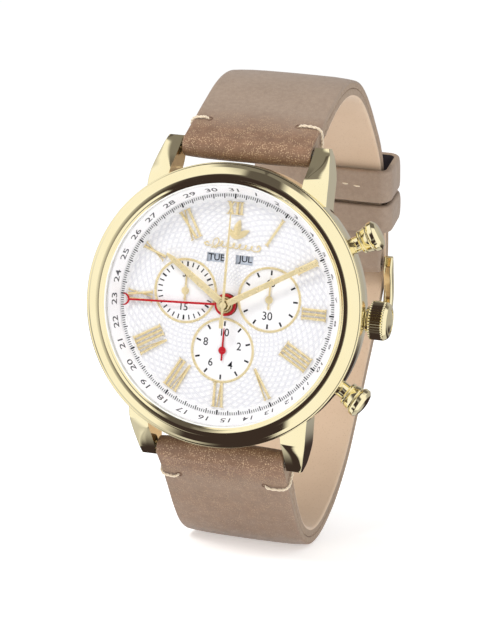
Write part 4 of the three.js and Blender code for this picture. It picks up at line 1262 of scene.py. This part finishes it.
def make_buckle():
    low, high = node_box("buckle_frame")
    x, foot = high.x - 0.78, low.y + 0.85
    side = [(x, 5.75, -57.3), (x, 3.4, -58.1), (x, 1.2, -59.3), (x, -1.0, -60.1), (x, -3.6, -60.22)]
    corner = [(x, foot + 2.0, -60.22), (x - 0.5, foot + 0.6, -60.22), (x - 1.9, foot, -60.22)]
    half = side + corner + [(x - 4.5, foot, -60.22), (x - 8, foot, -60.22)]
    route = smooth_path(half + [(-a, b, c) for a, b, c in reversed(half)], 180)
    sections = []
    for i, p in enumerate(route):
        way = (route[min(i + 1, 180)] - route[max(i - 1, 0)]).normalized()
        across = Vector((way.y, -way.x, 0))
        across = (Vector((1, 0, 0)) if abs(way.x) < 0.02 and abs(way.y) < 0.02 else across).normalized()
        out = way.cross(across).normalized()
        end = min(i, 180 - i)
        grow = min(1.0, 0.45 + end / 10)
        section = []
        for u, v in rounded([(-0.8, -0.82, 0.4), (0.78, -0.82, 0.4), (0.78, 0.82, 0.4), (-0.8, 0.82, 0.4)],
                            4):
            section.append(p + across * u * (0.9 + 0.1 * grow) + out * v * grow)
        sections.append(section)
    make("buckle_frame_polished", loft(sections), GOLD, "buckle", 35, "buckle_frame")

    bar_y, bar_z = BUCKLE_BAR
    eye = rounded([(0.85, -0.72, 0.1), (1.35, -0.72, 0.25), (1.35, 0.72, 0.25), (0.85, 0.72, 0.1)], 5)
    to_bar = Matrix.Translation((0, bar_y, bar_z)) @ Matrix.Rotation(math.pi / 2, 4, "Y")
    batch = Batch().add(*lathe(eye, 64), to_bar)
    arm = smooth_path([(0, 4.35, -58.6), (0, 3.95, -60.2), (0, 3.35, -61.7), (0, 2.3, -62.6),
                       (0, 0.5, -62.78), (0, -3.5, -62.3),
                       (0, -7.75, -61.75)], 70)
    sections = []
    for i, p in enumerate(arm):
        way = (arm[min(i + 1, 70)] - arm[max(i - 1, 0)]).normalized()
        out = Vector((0, way.z, -way.y))
        share = i / 70
        wide, thick = 0.68 - 0.22 * share ** 2, 0.42 - 0.12 * share
        if i == 70:
            wide, thick = wide * 0.7, thick * 0.7
        sections.append([p + Vector((wide * math.cos(a), 0, 0)) + out * thick * math.sin(a)
                         for a in (2 * math.pi * k / 16 for k in range(16))])
    batch.add(*loft(sections))
    make("buckle_tongue_polished", batch, GOLD, "tongue", 35, "buckle_tongue")


def strap_frame(line, folds, outer_sign, distance):
    """The outer face's point and normal, and the way along the strap, at a distance from the bar."""
    here, way = line.at(distance), line.along(distance)
    normal = Vector((-way.y, way.x)) * outer_sign
    return here, normal, half_thickness(distance, line.length, folds)


def make_stitches():
    """One waxed loop near each lug: out of an awl hole, over the strap's edge and back underneath."""
    half_width = STRAP_WIDTH / 2
    for name, line, outer_sign, folds, distance, insets, sag in (
        ("upper", Line(UPPER_LINE), 1, 2, 4.8, (2.5, 3.3), 0.15),
        ("lower", Line(LOWER_LINE), -1, 1, 4.8, (2.7, 3.4), 0.5),
    ):
        here, normal, half = strap_frame(line, folds, outer_sign, distance)
        way = line.along(distance)
        for side_name, side, inset in (("left", -1, insets[0]), ("right", 1, insets[1])):
            reach = half_width - inset
            shape = [(reach, half - 0.7), (reach + 0.1, half - 0.1), (reach + 0.55, half + 0.2),
                     (half_width - 1.4, half + 0.2),
                     (half_width - 0.35, half + 0.02), (half_width + 0.2, half - 0.6),
                     (half_width + 0.24, 0), (half_width + 0.2, -half + 0.6),
                     (half_width - 0.35, -half - 0.05), (half_width - 1.4, -half - 0.2),
                     (half_width - 2.4, -half - 0.1),
                     (half_width - 2.6, -half + 0.5)]
            points = []
            for k, (x, off) in enumerate(shape):
                p = here + normal * off + way * (sag * math.sin(math.pi * k / 7) - 0.06 * k)
                points.append((side * x, p.x, p.y))
            route = smooth_path(points, 150)
            batch = Batch()
            for strand in range(2):
                twisted = []
                for i, p in enumerate(route):
                    ahead = (route[min(i + 1, 150)] - route[max(i - 1, 0)]).normalized()
                    a = ahead.cross(Vector((0, way.x, way.y))).normalized()
                    b = ahead.cross(a)
                    turn = i * 0.38 + math.pi * strand
                    twisted.append(p + (a * math.cos(turn) + b * math.sin(turn)) * 0.1)
                batch.add(*tube(twisted, 0.13, 10))
            make(f"stitch_{name}_{side_name}", batch, THREAD, "case", 60, merge=False)
            hole = lathe(rounded([(0, -0.4, 0), (0.36, -0.4, 0), (0.5, 0.02, 0.05), (0.34, 0.07, 0.04),
                                  (0.26, -0.1, 0.03), (0, -0.15, 0)], 3), 24)
            spot = here + normal * half
            place = placed(Vector((side * (reach - 0.1), spot.x, spot.y)), Vector((1, 0, 0)),
                           Vector((0, way.x, way.y)),
                           Vector((0, normal.x, normal.y)))
            make(f"awl_hole_{name}_{side_name}", hole, EDGE_DARK, "case", 40,
                 matrix=place)


make_bezel()
make_case()
make_crystal()
make_case_back()
make_dial()
make_printing()
make_flange()
make_numerals()
make_ornament()
make_calendar()
make_hour_and_minute_hands()
make_sweep_hand()
make_date_hand()
make_counter_hands()
make_crown()
make_pushers()
make_strap()
make_keepers()
make_buckle()
make_stitches()

# ------------------------------------------------------------------ CAD nodes that stay
KEPT = {
    "crystal_gasket": PLASTIC, "case_back_gasket": RUBBER, "crown_gasket": RUBBER, "main_plate": BRASS,
    "movement_ring": PLASTIC, "battery": STEEL, "circuit_board": GREEN, "stepper_coil": COPPER,
    "train_bridge": STEEL,
    "start_pusher_spring": STEEL, "reset_pusher_spring": STEEL, "spring_bar_top": STEEL,
    "spring_bar_bottom": STEEL,
    "buckle_bar": STEEL, "cannon_pinion": BRASS, "minute_wheel": BRASS, "hour_wheel": BRASS,
    "date_wheel": BRASS,
    "setting_lever": STEEL, "winding_stem": STEEL,
}
for name, finish in KEPT.items():
    node = frame["nodes"][name]
    node.data.materials.clear()
    node.data.materials.append(finish)

# ------------------------------------------------------------------ camera, floor and light
scene = bpy.context.scene
scene.view_settings.view_transform = "Standard"
camera = bpy.data.objects.new("camera", bpy.data.cameras.new("camera"))
scene.collection.objects.link(camera)
scene.camera = camera
camera.data.sensor_width = 36
camera.data.lens = 143.8
camera.data.clip_start, camera.data.clip_end = 0.01, 10
CAMERA_SPOT, CAMERA_AIM = Vector((0.10058, -0.35535, 0.03269)), Vector((-0.2692, 0.9588, -0.0910))
CAMERA_UP = Vector((-0.1091, 0.0636, 0.9920))
right = CAMERA_AIM.cross(CAMERA_UP).normalized()
up = right.cross(CAMERA_AIM).normalized()
camera.matrix_world = Matrix.Translation(CAMERA_SPOT) @ Matrix((right, up,
                                                                -CAMERA_AIM.normalized())).transposed().to_4x4()


def step(tree, value, low, high, to_low=0.0, to_high=1.0):
    """A soft step between two values of an input."""
    made = tree.nodes.new("ShaderNodeMapRange")
    made.interpolation_type = "SMOOTHSTEP"
    tree.links.new(value, made.inputs["Value"])
    for key, number in (("From Min", low), ("From Max", high), ("To Min", to_low), ("To Max", to_high)):
        made.inputs[key].default_value = number
    return made.outputs[0]


def maths(tree, operation, *values):
    made = tree.nodes.new("ShaderNodeMath")
    made.operation = operation
    for socket, value in zip(made.inputs, values):
        if isinstance(value, bpy.types.NodeSocket):
            tree.links.new(value, socket)
        else:
            socket.default_value = value
    return made.outputs[0]


def studio_world():
    """A white studio. Polished metal sees two tall soft boxes with a dark gap between them in front."""
    world = bpy.data.worlds.new("studio")
    world.use_nodes = True
    tree = world.node_tree
    heading = tree.nodes.new("ShaderNodeTexCoord").outputs["Generated"]
    split = tree.nodes.new("ShaderNodeSeparateXYZ")
    tree.links.new(heading, split.inputs[0])
    x, y, z = split.outputs

    def both(*values):
        result = values[0]
        for value in values[1:]:
            result = maths(tree, "MULTIPLY", result, value)
        return result

    azimuth = both(maths(tree, "ARCTAN2", x, both(y, -1.0)), 180 / math.pi)
    height = both(maths(tree, "ARCSINE", z), 180 / math.pi)
    away = maths(tree, "ABSOLUTE", azimuth)
    in_front = step(tree, away, 106, 122, 1.0, 0.0)
    below_top = step(tree, height, 60, 72, 1.0, 0.12)
    sinking = maths(tree, "ADD", height, step(tree, azimuth, 30, 55, 0.0, 26.0))
    sinking = maths(tree, "ADD", sinking, step(tree, azimuth, -75, -45, 20.0, 0.0))
    right_box = both(step(tree, azimuth, 14, 25), step(tree, sinking, -58, -46))
    left_box = both(step(tree, azimuth, -32, -20, 1.0, 0.0), step(tree, sinking, -44, -32))
    strip = both(step(tree, azimuth, -3, 1), step(tree, azimuth, 6, 10, 1.0, 0.0),
                 step(tree, height, -34, -24, 0, 0.3),
                 step(tree, height, 18, 28, 1.0, 0.0))
    above = both(step(tree, height, -13, -7, 0.0, 0.42), step(tree, height, 30, 50, 1.0, 0.1))
    below = both(step(tree, height, -30, -22, 0.6, 0.0), step(tree, height, -75, -60))
    behind = both(maths(tree, "ADD", above, below), step(tree, away, 106, 122))
    lit = maths(tree, "ADD", both(maths(tree, "ADD", right_box, left_box), in_front, below_top),
                maths(tree, "ADD", strip, behind))
    lit = maths(tree, "ADD", lit, step(tree, height, 5, 30, 0.0, 0.07))
    glossy = tree.nodes.new("ShaderNodeMix")
    glossy.data_type = "RGBA"
    glossy.clamp_factor = True
    tree.links.new(lit, glossy.inputs[0])
    glossy.inputs[6].default_value = (0.045, 0.032, 0.034, 1)
    glossy.inputs[7].default_value = (1.05, 1.04, 1.04, 1)
    path = tree.nodes.new("ShaderNodeLightPath")
    plain = maths(tree, "ADD", both(path.outputs["Is Camera Ray"], 1.02 - AMBIENT), AMBIENT)
    mix = tree.nodes.new("ShaderNodeMix")
    mix.data_type = "RGBA"
    tree.links.new(path.outputs["Is Glossy Ray"], mix.inputs[0])
    tree.links.new(plain, mix.inputs[6])
    tree.links.new(glossy.outputs[2], mix.inputs[7])
    tree.links.new(mix.outputs[2], tree.nodes["Background"].inputs["Color"])
    scene.world = world


AMBIENT = 0.72
studio_world()


def lamp(name, spot, aim, size, power):
    light = bpy.data.lights.new(name, "AREA")
    light.shape, light.size, light.energy = "DISK", size, power
    holder = bpy.data.objects.new(name, light)
    scene.collection.objects.link(holder)
    holder.location = spot
    holder.rotation_mode = "QUATERNION"
    holder.rotation_quaternion = (Vector(aim) - Vector(spot)).to_track_quat("-Z", "Y")
    holder.visible_glossy = False
    return holder


lamp("key", (-0.28, -0.42, 0.5), (0, 0, 0), 0.22, 2.4)
lamp("fill", (0.5, -0.5, 0.1), (0, 0.02, 0), 0.5, 1.2)

floor_mesh = bpy.data.meshes.new("studio_floor")
floor_level = CAD_BOX[0].z - 0.0002
floor_mesh.from_pydata([(-3, -3, floor_level), (3, -3, floor_level), (3, 3, floor_level),
                        (-3, 3, floor_level)], [], [(0, 1, 2, 3)])
floor_nodes = Nodes("pale_floor", Roughness=0.9)
floor_nodes.link(floor_nodes.mix(floor_nodes.noise(3, 2), (0.9, 0.9, 0.9), (0.95, 0.95, 0.95)), "Base Color")
floor_nodes.shader.inputs["Emission Color"].default_value = (1, 1, 1, 1)
floor_nodes.shader.inputs["Emission Strength"].default_value = 0.42
floor_mesh.materials.append(floor_nodes.material)
floor = bpy.data.objects.new("studio_floor", floor_mesh)
scene.collection.objects.link(floor)
floor.visible_glossy = False
